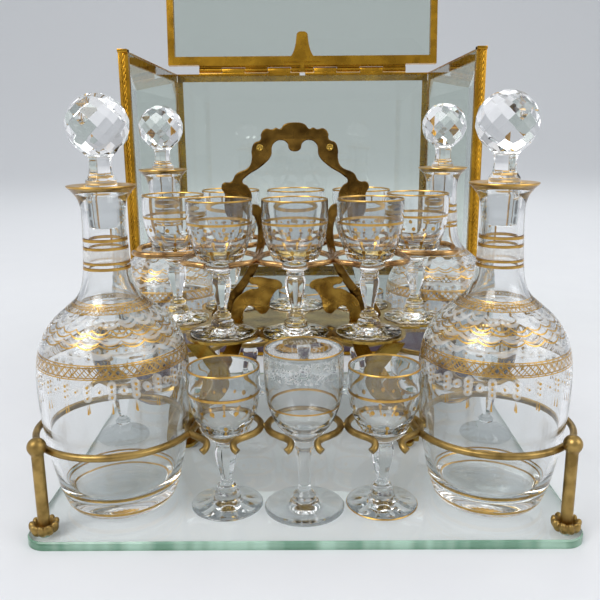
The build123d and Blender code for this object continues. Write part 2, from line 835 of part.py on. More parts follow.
with BuildPart() as back_rails:
    for leg_level, flange_level in rail_levels:
        with BuildSketch(Plane.XY.offset(leg_level)):
            with Locations((0, case_back - rail_leg / 2)):
                Rectangle(case_width - 2 * rail_width, rail_leg)
        extrude(amount=rail_height)
        with BuildSketch(Plane.XY.offset(flange_level)):
            with Locations((0, case_back - rail_width / 2)):
                Rectangle(case_width - 2 * rail_width, rail_width)
        extrude(amount=rail_flange)
    with BuildSketch(Plane.XY.offset(case_top)):
        with Locations((0, case_back - rail_width / 2)):
            Rectangle(notch_width, rail_width)
    extrude(amount=-notch_depth, mode=Mode.SUBTRACT)
back_rails.part.label = "back_rails"
export_step(back_rails.part, "parts/back_rails.step")


# ================================================================ case: glass panes
def bevelled_pane(width, height, rim):
    """A plate of glass on the XY plane: a thin edge, a wide bevel, and a thicker middle field."""
    with BuildPart() as pane:
        with BuildSketch(Plane.XY):
            Rectangle(width, height)
        extrude(amount=pane_edge)
        with BuildSketch(Plane.XY.offset(pane_edge)):
            Rectangle(width - 2 * rim, height - 2 * rim)
        with BuildSketch(Plane.XY.offset(pane_middle)):
            Rectangle(width - 2 * (rim + pane_bevel), height - 2 * (rim + pane_bevel))
        loft()
    return pane.part


pane_bottom = case_floor + rail_flange + pane_gap
pane_height = case_top - rail_flange - pane_gap - pane_bottom
side_pane_back = case_back - rail_leg - pane_gap
side_pane_front = side_rail_front + pane_gap
side_pane = bevelled_pane(side_pane_back - side_pane_front, pane_height, rail_height)
side_pane_middle = (side_pane_back + side_pane_front) / 2
pane_level = pane_bottom + pane_height / 2

with BuildPart() as side_panes:
    for sx in (-1, 1):
        outer_face = Plane(
            origin=(sx * (half_width - rail_leg - pane_gap), side_pane_middle, pane_level),
            x_dir=(0, 1, 0),
            z_dir=(-sx, 0, 0),
        )
        with Locations(outer_face.location):
            add(side_pane)
side_panes.part.label = "side_panes"
export_step(side_panes.part, "parts/side_panes.step")

back_pane_top = case_top - notch_depth - 2 * pane_gap
back_pane_height = back_pane_top - pane_bottom
back_pane_width = case_width - 2 * (rail_leg + pane_edge + 8 * pane_gap)
with BuildPart() as back_pane:
    outer_face = Plane(
        origin=(0, case_back - rail_leg - pane_gap, pane_bottom + back_pane_height / 2),
        x_dir=(1, 0, 0),
        z_dir=(0, -1, 0),
    )
    with Locations(outer_face.location):
        add(bevelled_pane(back_pane_width, back_pane_height, rail_height))
back_pane.part.label = "back_pane"
export_step(back_pane.part, "parts/back_pane.step")

# ================================================================ lid, drawn open on its hinge
# On lid_plane, x runs along the hinge, -y leads from the hinge to the lid's front edge, and z is
# the way up of the closed lid.
lid_middle = -(lid_hinge_gap + lid_depth / 2)
pane_seat = lid_bottom + (lid_thick - lid_groove_width) / 2
opening_width = lid_width - 2 * lid_side_bar
opening_depth = lid_depth - 2 * lid_end_bar

with BuildPart() as lid_frame:
    with BuildSketch(lid_plane.offset(lid_bottom)):
        with Locations((0, lid_middle)):
            Rectangle(lid_width, lid_depth)
            Rectangle(opening_width, opening_depth, mode=Mode.SUBTRACT)
    extrude(amount=lid_thick)
    with BuildSketch(lid_plane.offset(pane_seat)):
        with Locations((0, lid_middle)):
            Rectangle(opening_width + 2 * lid_groove_depth, opening_depth + 2 * lid_groove_depth)
    extrude(amount=lid_groove_width, mode=Mode.SUBTRACT)
lid_frame.part.label = "lid_frame"
export_step(lid_frame.part, "parts/lid_frame.step")

lid_pane_form = bevelled_pane(
    opening_width + 2 * (lid_groove_depth - pane_gap),
    opening_depth + 2 * (lid_groove_depth - pane_gap),
    lid_groove_depth + 4 * pane_gap,
)
with BuildPart() as lid_pane:
    pane_plane = lid_plane.offset(pane_seat + (lid_groove_width - pane_edge) / 2)
    with Locations(pane_plane * Pos(0, lid_middle, 0)):
        add(lid_pane_form)
lid_pane.part.label = "lid_pane"
export_step(lid_pane.part, "parts/lid_pane.step")

# ================================================================ hinge
knuckle_length = (hinge_length - (knuckle_count - 1) * knuckle_gap) / knuckle_count
knuckle_step = knuckle_length + knuckle_gap
knuckles = [-hinge_length / 2 + i * knuckle_step for i in range(knuckle_count)]
lid_knuckles = knuckles[0::2]
case_knuckles = knuckles[1::2]
hinge_axis_plane = Plane(origin=(0, hinge_y, hinge_z), x_dir=(0, 1, 0), z_dir=(1, 0, 0))

with BuildPart() as case_hinge_leaf:
    leaf_middle = leaf_thick / 2 - hinge_back
    with BuildSketch(hinge_plane.offset(-leaf_depth)):
        with Locations((0, leaf_middle)):
            Rectangle(hinge_length, leaf_thick)
    extrude(amount=leaf_depth - knuckle_radius - knuckle_gap)
    for start in case_knuckles:
        with BuildSketch(hinge_plane.offset(-knuckle_radius - knuckle_gap)):
            with Locations((start + knuckle_length / 2, leaf_middle)):
                Rectangle(knuckle_length, leaf_thick)
        extrude(amount=knuckle_radius)
        with BuildSketch(hinge_axis_plane.offset(start)):
            Circle(knuckle_radius)
        extrude(amount=knuckle_length)
    with BuildSketch(hinge_axis_plane.offset(-hinge_length / 2)):
        Circle(pin_radius + pin_clearance)
    extrude(amount=hinge_length, mode=Mode.SUBTRACT)
    with BuildSketch(Plane.XY.offset(case_top - notch_depth)):
        with Locations((0, case_back)):
            Rectangle(notch_width, 3 * leaf_thick)
    extrude(amount=notch_depth + hinge_up, mode=Mode.SUBTRACT)
case_hinge_leaf.part.label = "case_hinge_leaf"
export_step(case_hinge_leaf.part, "parts/case_hinge_leaf.step")

with BuildPart() as lid_hinge_leaf:
    leaf_middle = leaf_thick / 2 - lid_hinge_gap
    with BuildSketch(lid_plane.offset(lid_bottom)):
        with Locations((0, leaf_middle)):
            Rectangle(hinge_length, leaf_thick)
    extrude(amount=lid_thick - leaf_thick)
    for start in lid_knuckles:
        with BuildSketch(lid_plane.offset(-leaf_web / 2)):
            with Locations((start + knuckle_length / 2, (leaf_middle - pin_radius) / 2)):
                Rectangle(knuckle_length, lid_hinge_gap - 2 * pin_radius)
        extrude(amount=leaf_web)
        with BuildSketch(hinge_axis_plane.offset(start)):
            Circle(knuckle_radius)
        extrude(amount=knuckle_length)
    with BuildSketch(hinge_axis_plane.offset(-hinge_length / 2)):
        Circle(pin_radius + pin_clearance)
    extrude(amount=hinge_length, mode=Mode.SUBTRACT)
lid_hinge_leaf.part.label = "lid_hinge_leaf"
export_step(lid_hinge_leaf.part, "parts/lid_hinge_leaf.step")

with BuildPart() as hinge_pin:
    with BuildSketch(hinge_axis_plane.offset(-hinge_length / 2)):
        Circle(pin_radius)
    extrude(amount=hinge_length)
hinge_pin.part.label = "hinge_pin"
export_step(hinge_pin.part, "parts/hinge_pin.step")

# ================================================================ lid stop
# A leaf-shaped plate under the lid's back bar. Its tongue passes below the hinge, fits the notch in
# the closed case, and turns down over the case's top edge as the lid opens.
stop_front = lid_hinge_gap + 3.0
stop_end = stop_front + lid_stop_length
with BuildPart() as lid_stop:
    with BuildSketch(lid_plane.offset(lid_bottom)):
        with BuildLine():
            Line((0, -stop_front), (lid_stop_half_width, -stop_front))
            Spline(
                (lid_stop_half_width, -stop_front),
                (13.0, -stop_front - 9.0),
                (8.0, -stop_front - 25.0),
                (7.0, -stop_end + 3.0),
            )
            ThreePointArc((7.0, -stop_end + 3.0), (5.0, -stop_end + 0.8), (0, -stop_end))
            Line((0, -stop_end), (0, -stop_front))
        make_face()
        mirror(about=Plane.YZ)
    extrude(amount=-lid_stop_thick)
    tongue_length = stop_front + tongue_reach
    with BuildSketch(lid_plane.offset(lid_bottom - 2 * pane_gap)):
        with Locations((0, tongue_reach - tongue_length / 2)):
            Rectangle(tongue_width, tongue_length)
    extrude(amount=-tongue_thick)
lid_stop.part.label = "lid_stop"
export_step(lid_stop.part, "parts/lid_stop.step")

stop_screw_place = -(stop_front + 6.0)
with BuildPart() as lid_stop_screw:
    with BuildSketch(lid_plane.offset(lid_bottom - lid_stop_thick)):
        with Locations((0, stop_screw_place)):
            Circle(screw_head_radius)
    extrude(amount=-screw_head_height)
lid_stop_screw.part.label = "lid_stop_screw"
export_step(lid_stop_screw.part, "parts/lid_stop_screw.step")
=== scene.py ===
"""An antique tantalus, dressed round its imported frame.

A brass and glass case stands with its lid open, and in front of it is the glass tray that lifts
out of it, with four gilt decanters and sixteen small glasses held in gilded wire.
"""

from __future__ import annotations

import logging
import math
from contextlib import contextmanager
from dataclasses import dataclass, replace
from enum import Enum
from functools import reduce
from typing import Any, Callable, Iterator, Sequence

import bmesh
import bpy
from mathutils import Matrix, Vector

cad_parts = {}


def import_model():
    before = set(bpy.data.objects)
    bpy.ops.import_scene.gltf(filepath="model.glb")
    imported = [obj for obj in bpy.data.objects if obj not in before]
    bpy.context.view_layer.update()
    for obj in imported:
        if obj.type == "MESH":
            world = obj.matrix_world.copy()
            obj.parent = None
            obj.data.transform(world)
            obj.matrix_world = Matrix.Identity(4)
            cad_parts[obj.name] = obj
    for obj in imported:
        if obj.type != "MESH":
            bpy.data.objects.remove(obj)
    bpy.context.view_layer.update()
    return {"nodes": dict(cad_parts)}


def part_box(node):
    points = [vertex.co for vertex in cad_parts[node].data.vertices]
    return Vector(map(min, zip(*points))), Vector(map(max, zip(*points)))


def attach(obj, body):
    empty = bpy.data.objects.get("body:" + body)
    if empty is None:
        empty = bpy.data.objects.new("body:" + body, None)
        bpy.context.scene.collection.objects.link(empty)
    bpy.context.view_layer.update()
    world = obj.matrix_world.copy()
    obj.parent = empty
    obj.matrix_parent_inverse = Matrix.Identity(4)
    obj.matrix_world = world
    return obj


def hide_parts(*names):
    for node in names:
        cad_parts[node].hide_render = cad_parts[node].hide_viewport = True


MM = 0.001
CORNERS = ("fl", "fr", "bl", "br")
Place = tuple[float, float, float]
Profile = Sequence[tuple[float, float]]
# Points nearer to each other than this are one, in metres.
WELD = 2e-6
# How far a wire's end face is drawn in and pushed out, in shares of its radius.
END_IN, END_OUT = 0.35, 0.3
log = logging.getLogger("tantalus")


# ------------------------------------------------------------------------------------ the bench
class Bench:
    """The hand operations that every new piece is made with."""

    @staticmethod
    def clear() -> None:
        """Leaves edit mode and lets go of every object."""
        if bpy.context.object and bpy.context.object.mode != "OBJECT":
            bpy.ops.object.mode_set(mode="OBJECT")
        bpy.ops.object.select_all(action="DESELECT")

    @staticmethod
    def hold(*pieces: bpy.types.Object) -> None:
        """Selects only these pieces, the last one active.

        Args:
            pieces: the objects to take in hand.
        """
        Bench.clear()
        for piece in pieces:
            piece.select_set(True)
        bpy.context.view_layer.objects.active = pieces[-1]

    @staticmethod
    def named(name: str) -> bpy.types.Object:
        """Names the object that was just added.

        Args:
            name: the piece's name.

        Returns:
            The object.
        """
        piece = bpy.context.object
        piece.name = piece.data.name = name
        return piece

    @staticmethod
    @contextmanager
    def editing(
        piece: bpy.types.Object, mode: str = "FACE", all_of_it: bool = False
    ) -> Iterator[None]:
        """Edit mode on one piece.

        Args:
            piece: the mesh object to edit.
            mode: VERT, EDGE or FACE.
            all_of_it: whether the whole mesh starts selected, or nothing.
        """
        Bench.hold(piece)
        bpy.ops.object.mode_set(mode="EDIT")
        bpy.ops.mesh.select_mode(type=mode)
        bpy.ops.mesh.select_all(action="SELECT" if all_of_it else "DESELECT")
        yield
        bpy.ops.object.mode_set(mode="OBJECT")

    @staticmethod
    def pick(piece: bpy.types.Object, kind: str, test: Callable[[Any], bool]) -> None:
        """Selects the parts of the edited mesh that pass a test.

        Args:
            piece: the object in edit mode.
            kind: verts, edges or faces.
            test: says for one of them whether it is selected.
        """
        mesh = bmesh.from_edit_mesh(piece.data)
        for part in getattr(mesh, kind):
            if test(part):
                part.select_set(True)
        bmesh.update_edit_mesh(piece.data)

    @staticmethod
    def shape(piece: bpy.types.Object, kind: str, **settings: Any) -> None:
        """Adds a modifier and applies it.

        Args:
            piece: the object.
            kind: the modifier's type.
            settings: its values.
        """
        Bench.hold(piece)
        made = piece.modifiers.new(kind.title(), kind)
        for name, value in settings.items():
            setattr(made, name, value)
        bpy.ops.object.modifier_apply(modifier=made.name)

    @staticmethod
    def close(piece: bpy.types.Object, angle: float = 35.0) -> bpy.types.Object:
        """Merges doubles, turns faces outwards and shades by angle, with the object at the origin.

        Args:
            piece: the object.
            angle: the sharpest smooth edge, in degrees.

        Returns:
            The object.
        """
        Bench.hold(piece)
        bpy.ops.object.transform_apply(location=True, rotation=True, scale=True)
        with Bench.editing(piece, all_of_it=True):
            bpy.ops.mesh.remove_doubles(threshold=WELD)
            bpy.ops.mesh.normals_make_consistent(inside=False)
        Bench.hold(piece)
        bpy.ops.object.shade_smooth_by_angle(angle=math.radians(angle))
        return piece

    @staticmethod
    def move_points(piece: bpy.types.Object, change: Callable[[Vector], Vector]) -> None:
        """Moves each point of a mesh, as a wheel or a file would take it.

        Args:
            piece: the mesh object.
            change: gives a point's new place.
        """
        for vertex in piece.data.vertices:
            vertex.co = change(vertex.co.copy())
        piece.data.update()

    @staticmethod
    def shift(piece: bpy.types.Object, way: Vector | Place) -> None:
        """Moves a mesh within its object, by a way in metres."""
        piece.data.transform(Matrix.Translation(way))

    @staticmethod
    def twin(
        piece: bpy.types.Object, name: str, shift: Vector, turn: float = 0.0
    ) -> bpy.types.Object:
        """Copies a piece with its own mesh, turned about Z and then shifted.

        Args:
            piece: the model to copy.
            name: the copy's name.
            shift: how far it goes, in metres.
            turn: degrees about Z.

        Returns:
            The copy.
        """
        copy = piece.copy()
        copy.data = piece.data.copy()
        copy.name = copy.data.name = name
        bpy.context.scene.collection.objects.link(copy)
        copy.data.transform(Matrix.Translation(shift) @ Matrix.Rotation(math.radians(turn), 4, "Z"))
        return copy

    @staticmethod
    def join(name: str, pieces: Sequence[bpy.types.Object]) -> bpy.types.Object:
        """Joins pieces into one object.

        Args:
            name: the joined piece's name.
            pieces: what is joined.

        Returns:
            The joined object.
        """
        Bench.hold(*pieces)
        bpy.ops.object.join()
        return Bench.named(name)

    @staticmethod
    def block(name: str, size: Place, middle: Place, soft: float = 0.2) -> bpy.types.Object:
        """A square-cut bar or piece of sheet with softened edges.

        Args:
            name: the piece's name.
            size: its width, depth and height in mm.
            middle: its middle in mm.
            soft: how far its edges are rounded in mm.

        Returns:
            The block.
        """
        Bench.clear()
        bpy.ops.mesh.primitive_cube_add(size=MM, location=Vector(middle) * MM)
        block = Bench.named(name)
        block.scale = size
        Bench.hold(block)
        bpy.ops.object.transform_apply(location=True, scale=True)
        Bench.shape(block, "BEVEL", width=soft * MM, segments=2)
        return Bench.close(block)

    @staticmethod
    def turned(name: str, profile: Profile, sides: int = 48) -> bpy.types.Object:
        """Turns a form about Z: a filled circle is drawn up and scaled from station to station.

        Args:
            name: the piece's name.
            profile: stations of radius and height in mm, from the outside round to the last face.
            sides: how many sides the circle has.

        Returns:
            The turned object.
        """
        Bench.clear()
        radius, height = first, start = profile[0]
        bpy.ops.mesh.primitive_circle_add(
            vertices=sides, radius=radius * MM, fill_type="NGON", location=(0, 0, height * MM)
        )
        piece = Bench.named(name)
        Bench.hold(piece)
        bpy.ops.object.transform_apply(location=True)
        with Bench.editing(piece, all_of_it=True):
            for wide, high in profile[1:]:
                bpy.ops.mesh.extrude_region_move(
                    TRANSFORM_OT_translate={"value": (0, 0, (high - height) * MM)}
                )
                factor = wide / radius
                bpy.ops.transform.resize(
                    value=(factor, factor, 1), center_override=(0, 0, high * MM)
                )
                radius, height = wide, high
            bpy.ops.mesh.inset(thickness=radius * MM * 0.5)
            bpy.ops.mesh.merge(type="CENTER")
            Bench.pick(
                piece,
                "faces",
                lambda face: len(face.verts) > 4
                and abs(face.calc_center_median().z - start * MM) < 1e-6,
            )
            bpy.ops.mesh.inset(thickness=first * MM * 0.5)
            bpy.ops.mesh.merge(type="CENTER")
        Bench.shape(piece, "SUBSURF", levels=1, render_levels=1)
        return Bench.close(piece)

    @staticmethod
    def drawn(name: str, runs: Sequence[Sequence[Sequence[float]]], flat: bool) -> bpy.types.Object:
        """Draws a curve with a smooth spline through each run of points.

        Args:
            name: the piece's name.
            runs: each run's points in mm.
            flat: whether the runs are closed outlines in one plane, or open lines in space.

        Returns:
            The curve object.
        """
        Bench.clear()
        bpy.ops.curve.primitive_bezier_curve_add(location=(0, 0, 0))
        piece = Bench.named(name)
        piece.data.splines.clear()
        piece.data.dimensions = "2D" if flat else "3D"
        for run in runs:
            spline = piece.data.splines.new("BEZIER")
            spline.bezier_points.add(len(run) - 1)
            spline.use_cyclic_u = flat
            for knot, point in zip(spline.bezier_points, run):
                knot.co = Vector(point).to_3d() * MM
                knot.handle_left_type = knot.handle_right_type = "AUTO"
        return piece

    @staticmethod
    def wire(name: str, runs: Sequence[Sequence[Place]], radius: float) -> bpy.types.Object:
        """Draws round wire along smooth runs of points, with rounded ends.

        Args:
            name: the piece's name.
            runs: each run's points in mm.
            radius: the wire's radius in mm.

        Returns:
            The wire as one mesh.
        """
        piece = Bench.drawn(name, runs, flat=False)
        curve = piece.data
        curve.bevel_depth = radius * MM
        curve.bevel_resolution = 4
        curve.use_fill_caps = True
        curve.resolution_u = 8
        Bench.hold(piece)
        bpy.ops.object.convert(target="MESH")
        piece = bpy.context.object
        with Bench.editing(piece):
            Bench.pick(piece, "faces", lambda face: len(face.verts) > 6)
            bpy.ops.mesh.inset(thickness=radius * MM * END_IN, depth=radius * MM * END_OUT)
        return Bench.close(piece, 50)

    @staticmethod
    def plate(
        name: str, outlines: Sequence[Profile], thick: float, soft: float
    ) -> bpy.types.Object:
        """Cuts a flat plate that stands in the XZ plane, with softened edges.

        Args:
            name: the piece's name.
            outlines: closed outlines in mm, across and up.
            thick: the plate's thickness in mm.
            soft: how far its edges are rounded in mm.

        Returns:
            The plate, centred on y = 0.
        """
        piece = Bench.drawn(name, outlines, flat=True)
        curve = piece.data
        curve.fill_mode = "BOTH"
        curve.extrude = (thick / 2 - soft) * MM
        curve.bevel_depth = soft * MM
        curve.offset = -soft * MM
        curve.bevel_resolution = 3
        curve.resolution_u = 6
        piece.rotation_euler = (math.radians(90), 0, 0)
        Bench.hold(piece)
        bpy.ops.object.convert(target="MESH")
        return Bench.close(bpy.context.object, 40)

    @staticmethod
    def wrap(piece: bpy.types.Object) -> None:
        """Gives a turned piece at the origin its map: turns round it, and height in decimetres.

        Args:
            piece: the object, still centred on the Z axis.
        """
        mesh = piece.data
        layer = mesh.uv_layers.new(name="wrap")
        for face in mesh.polygons:
            home = math.atan2(face.center.y, face.center.x) / math.tau
            for loop in face.loop_indices:
                point = mesh.vertices[mesh.loops[loop].vertex_index].co
                turn = home
                if point.xy.length > 1e-5:
                    turn = math.atan2(point.y, point.x) / math.tau
                    turn += round(home - turn)
                layer.data[loop].uv = (turn, point.z * 10)


def mirrored(points: Profile) -> list[tuple[float, float]]:
    """The mirror image of points across the middle, in the opposite order."""
    return [(-x, up) for x, up in reversed(points)]


def flattened(point: Vector, flats: int) -> Vector:
    """Draws a point of a round neck or stem in to the flat that it lies on.

    Args:
        point: the point's place in metres.
        flats: how many flats go round.

    Returns:
        Its place after the cut.
    """
    step = math.tau / flats
    off = math.atan2(point.y, point.x) % step - step / 2
    flat = math.cos(step / 2) / math.cos(off)
    return Vector((point.x * flat, point.y * flat, point.z))


def box_middle(node: str) -> Vector:
    """The middle of a node's box, with the height of its lowest point, in metres.

    Args:
        node: the node's name.

    Returns:
        The place that a form made at the origin is shifted to.
    """
    low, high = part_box(node)
    return Vector(((low.x + high.x) / 2, (low.y + high.y) / 2, low.z))


def place(piece: bpy.types.Object, finish: Finish, body: str, slot: str, *nodes: str) -> None:
    """Dresses a finished piece and puts it on its body, in place of its nodes.

    Args:
        piece: the object.
        finish: what it is dressed in.
        body: the body that it moves with.
        slot: the record's material slot.
        nodes: the nodes that it stands for.
    """
    finish.dress(piece)
    put(piece, body, slot, *nodes)


def put(piece: bpy.types.Object, body: str, slot: str, *nodes: str) -> None:
    """Puts a dressed piece on its body, in place of its nodes.

    Args:
        piece: the object.
        body: the body that it moves with.
        slot: the record's material slot; not used.
        nodes: the nodes that it stands for.
    """
    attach(piece, body)
    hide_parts(*nodes)
    log.info("%s: %d faces on %s", piece.name, len(piece.data.polygons), body)


# ----------------------------------------------------------------------------------- finishes
def linear(colour: str) -> tuple[float, float, float, float]:
    """Turns an sRGB hex colour into linear light.

    Args:
        colour: six hex digits.

    Returns:
        Red, green, blue and a full alpha.
    """
    parts = [int(colour[i : i + 2], 16) / 255 for i in (0, 2, 4)]
    light = [c / 12.92 if c <= 0.04045 else ((c + 0.055) / 1.055) ** 2.4 for c in parts]
    return (light[0], light[1], light[2], 1.0)


def lay(
    tree: bpy.types.NodeTree, kind: str, joins: dict[Any, Any], **settings: Any
) -> bpy.types.Node:
    """Adds one shader node with its settings and links.

    Args:
        tree: the node tree.
        kind: the node's type without its ShaderNode prefix.
        joins: for each input, a value, a socket, or a node whose first output is taken.
        settings: the node's own properties.

    Returns:
        The node.
    """
    node = tree.nodes.new("ShaderNode" + kind)
    for name, value in settings.items():
        setattr(node, name, value)
    for key, value in joins.items():
        if isinstance(value, bpy.types.Node):
            value = value.outputs[0]
        if isinstance(value, bpy.types.NodeSocket):
            tree.links.new(value, node.inputs[key])
        else:
            node.inputs[key].default_value = value
    return node


def grain(size: float) -> float:
    """The noise scale, on Object coordinates in metres, whose grain is this many mm."""
    return 1000.0 / size


@dataclass(frozen=True)
class Graph:
    """A node tree, with one short method for each kind of step that the finishes share."""

    tree: bpy.types.NodeTree

    def sums(self, operation: str, *values: Any) -> bpy.types.Node:
        """Adds a Math node that works on these values in their order."""
        return lay(self.tree, "Math", dict(enumerate(values)), operation=operation)

    def where(self, kind: str = "Object") -> bpy.types.NodeSocket:
        """The surface's own coordinates."""
        return lay(self.tree, "TexCoord", {}).outputs[kind]

    def noise(self, size: float, detail: float, **more: Any) -> bpy.types.Node:
        """Adds noise on Object coordinates.

        Args:
            size: its grain in mm.
            detail: its finer levels.
            more: the node's other inputs.

        Returns:
            The noise node.
        """
        joins = {"Vector": self.where(), "Scale": grain(size), "Detail": detail}
        return lay(self.tree, "TexNoise", joins | more)

    def span(
        self, value: Any, low: float, high: float, to: tuple[float, float] = (0.0, 1.0)
    ) -> bpy.types.Node:
        """Maps a value from one range to another, kept within it.

        Args:
            value: the socket or node to read.
            low: what gives the new range's first end.
            high: what gives its second end.
            to: the new range.

        Returns:
            The node.
        """
        joins = {"From Min": low, "From Max": high, "To Min": to[0], "To Max": to[1]}
        return lay(self.tree, "MapRange", {"Value": value} | joins)

    def blend(self, share: Any, first: Any, second: Any) -> bpy.types.NodeSocket:
        """Blends two colours.

        Args:
            share: how much of the second there is.
            first: a hex colour or a socket.
            second: a hex colour or a socket.

        Returns:
            The colour's socket.
        """
        pair = [linear(c) if isinstance(c, str) else c for c in (first, second)]
        joins = {"Factor": share, 6: pair[0], 7: pair[1]}
        return lay(self.tree, "Mix", joins, data_type="RGBA").outputs[2]

    def relief(self, height: Any, strength: float, deep: float) -> bpy.types.Node:
        """Adds a bump of so many mm."""
        joins = {"Height": height, "Strength": strength, "Distance": deep * MM}
        return lay(self.tree, "Bump", joins)

    def body(self, colour: Any, rough: Any, joins: dict[str, Any]) -> bpy.types.Node:
        """Adds a Principled surface.

        Args:
            colour: a hex colour or a socket.
            rough: its roughness.
            joins: its other inputs.

        Returns:
            The shader node.
        """
        colour = linear(colour) if isinstance(colour, str) else colour
        joins = {"Base Color": colour, "Roughness": rough} | joins
        return lay(self.tree, "BsdfPrincipled", joins)

    def over(self, share: Any, under: Any, upper: Any) -> bpy.types.Node:
        """Lays one shader over another in this share."""
        return lay(self.tree, "MixShader", {0: share, 1: under, 2: upper})


@dataclass(frozen=True)
class Wrapping(Graph):
    """A graph on a turned piece's own map: turns round it, and the height in mm."""

    turn: Any
    up: Any


@dataclass(frozen=True)
class Finish:
    """A material that is made once and named for what it is."""

    name: str

    def paint(self, graph: Graph) -> Any:
        """Builds the surface. Each finish has its own."""
        raise NotImplementedError

    def material(self) -> bpy.types.Material:
        """Makes the material, or gives the one already made.

        Returns:
            The material.
        """
        made = bpy.data.materials.get(self.name)
        if made is None:
            made = bpy.data.materials.new(self.name)
            made.use_nodes = True
            made.node_tree.nodes.clear()
            surface = self.paint(Graph(made.node_tree))
            lay(made.node_tree, "OutputMaterial", {"Surface": surface})
        return made

    def dress(self, *pieces: bpy.types.Object) -> None:
        """Puts the material on pieces in place of what they had.

        Args:
            pieces: the objects.
        """
        for piece in pieces:
            piece.data.materials.clear()
            piece.data.materials.append(self.material())


@dataclass(frozen=True)
class AgedBrass(Finish):
    """Brass or gilt metal, polished long ago: darker patina in clouds and soft rubbing."""

    bright: str
    dark: str
    cloud: float
    dull: float = 0.34
    shine: float = 0.2
    rub: float = 12.0
    relief: float = 0.015

    def paint(self, graph: Graph) -> Any:
        """Metal whose colour and roughness follow the patina's clouds.

        Args:
            graph: the material's nodes.

        Returns:
            The surface's shader.
        """
        rubbing = graph.noise(self.rub, 3.0)
        share = lay(graph.tree, "ValToRGB", {"Fac": graph.noise(self.cloud, 5.0)})
        share.color_ramp.elements[0].position = 0.36
        share.color_ramp.elements[1].position = 0.66
        tone = graph.blend(share, self.bright, self.dark)
        rough = graph.span(rubbing, 0.3, 0.7, (self.shine, self.dull))
        bump = graph.relief(rubbing, 0.5, self.relief)
        return graph.body(tone, rough, {"Metallic": 1.0, "Normal": bump})


class Laid(Enum):
    """How a motif lies on the glass."""

    GOLD = "gold"
    ETCHED = "etched"


@dataclass(frozen=True)
class Motif:
    """One row of decoration round a glass: a plain line from one height to another, in mm."""

    low: float
    high: float
    laid: Laid = Laid.GOLD

    @property
    def centre(self) -> float:
        """The row's middle height in mm."""
        return (self.low + self.high) / 2

    def within(self, on: Wrapping) -> Any:
        """One between the two heights, and nothing elsewhere.

        Args:
            on: the nodes, with the piece's map.

        Returns:
            The node that holds it.
        """
        above = on.sums("GREATER_THAN", on.up, self.low)
        return on.sums("MULTIPLY", above, on.sums("LESS_THAN", on.up, self.high))

    def mask(self, on: Wrapping) -> Any:
        """The row's share of the surface, from 0 to 1."""
        return self.within(on)


@dataclass(frozen=True)
class Repeat(Motif):
    """A row of equal figures: how many there are and how far they are from one to the next."""

    count: int = 20
    pitch: float = 12.0
    start: float = 0.0

    def across(self, on: Wrapping) -> Any:
        """The way along the row from the nearest figure's middle, in mm.

        Args:
            on: the nodes, with the piece's map.

        Returns:
            The node that holds the way.
        """
        steps = on.sums("MULTIPLY_ADD", on.turn, float(self.count), self.start)
        return on.sums("MULTIPLY_ADD", on.sums("FRACT", steps), self.pitch, -self.pitch / 2)


@dataclass(frozen=True)
class Dots(Repeat):
    """A row of round dots or, with an inner radius, of rings."""

    radius: float = 1.1
    inner: float = 0.0

    def mask(self, on: Wrapping) -> Any:
        """Discs at the row's middle height.

        Args:
            on: the nodes, with the piece's map.

        Returns:
            The node that holds the share.
        """
        rise = on.sums("SUBTRACT", on.up, self.centre)
        point = lay(on.tree, "CombineXYZ", {0: self.across(on), 1: rise})
        away = lay(on.tree, "VectorMath", {0: point}, operation="LENGTH").outputs["Value"]
        disc = on.sums("LESS_THAN", away, self.radius)
        return on.sums("MULTIPLY", disc, on.sums("GREATER_THAN", away, self.inner))


@dataclass(frozen=True)
class Drops(Repeat):
    """A row of hanging drops, pointed at the top."""

    width: float = 1.0

    def mask(self, on: Wrapping) -> Any:
        """Narrow triangles that widen downwards.

        Args:
            on: the nodes, with the piece's map.

        Returns:
            The node that holds the share.
        """
        fall = on.span(on.up, self.high, self.low, (0.0, self.width))
        inside = on.sums("LESS_THAN", on.sums("ABSOLUTE", self.across(on)), fall)
        return on.sums("MULTIPLY", inside, self.within(on))


@dataclass(frozen=True)
class Swags(Repeat):
    """A row of hanging swags, each a line of one thickness."""

    line: float = 0.7

    def mask(self, on: Wrapping) -> Any:
        """A line that dips from the high to the low height in each repeat.

        Args:
            on: the nodes, with the piece's map.

        Returns:
            The node that holds the share.
        """
        side = self.across(on)
        steep = 4 * (self.high - self.low) / self.pitch**2
        curve = on.sums("MULTIPLY_ADD", on.sums("MULTIPLY", side, side), steep, self.low)
        away = on.sums("ABSOLUTE", on.sums("SUBTRACT", on.up, curve))
        return on.sums("LESS_THAN", away, self.line)


@dataclass(frozen=True)
class Lattice(Repeat):
    """A band between two lines, filled with crossed diagonal strokes."""

    duty: float = 0.3
    edge: float = 0.7

    def mask(self, on: Wrapping) -> Any:
        """Two families of slanting strokes and the two edge lines.

        Args:
            on: the nodes, with the piece's map.

        Returns:
            The node that holds the share.
        """
        rise = on.sums("MULTIPLY", on.up, 1 / self.pitch)
        strokes = []
        for way in (1.0, -1.0):
            slant = on.sums("MULTIPLY_ADD", on.turn, way * self.count, rise)
            strokes.append(on.sums("LESS_THAN", on.sums("FRACT", slant), self.duty))
        side = on.sums("ABSOLUTE", on.sums("SUBTRACT", on.up, self.centre))
        rim = on.sums("GREATER_THAN", side, (self.high - self.low) / 2 - self.edge)
        marks = on.sums("MAXIMUM", on.sums("MAXIMUM", *strokes), rim)
        return on.sums("MULTIPLY", marks, self.within(on))


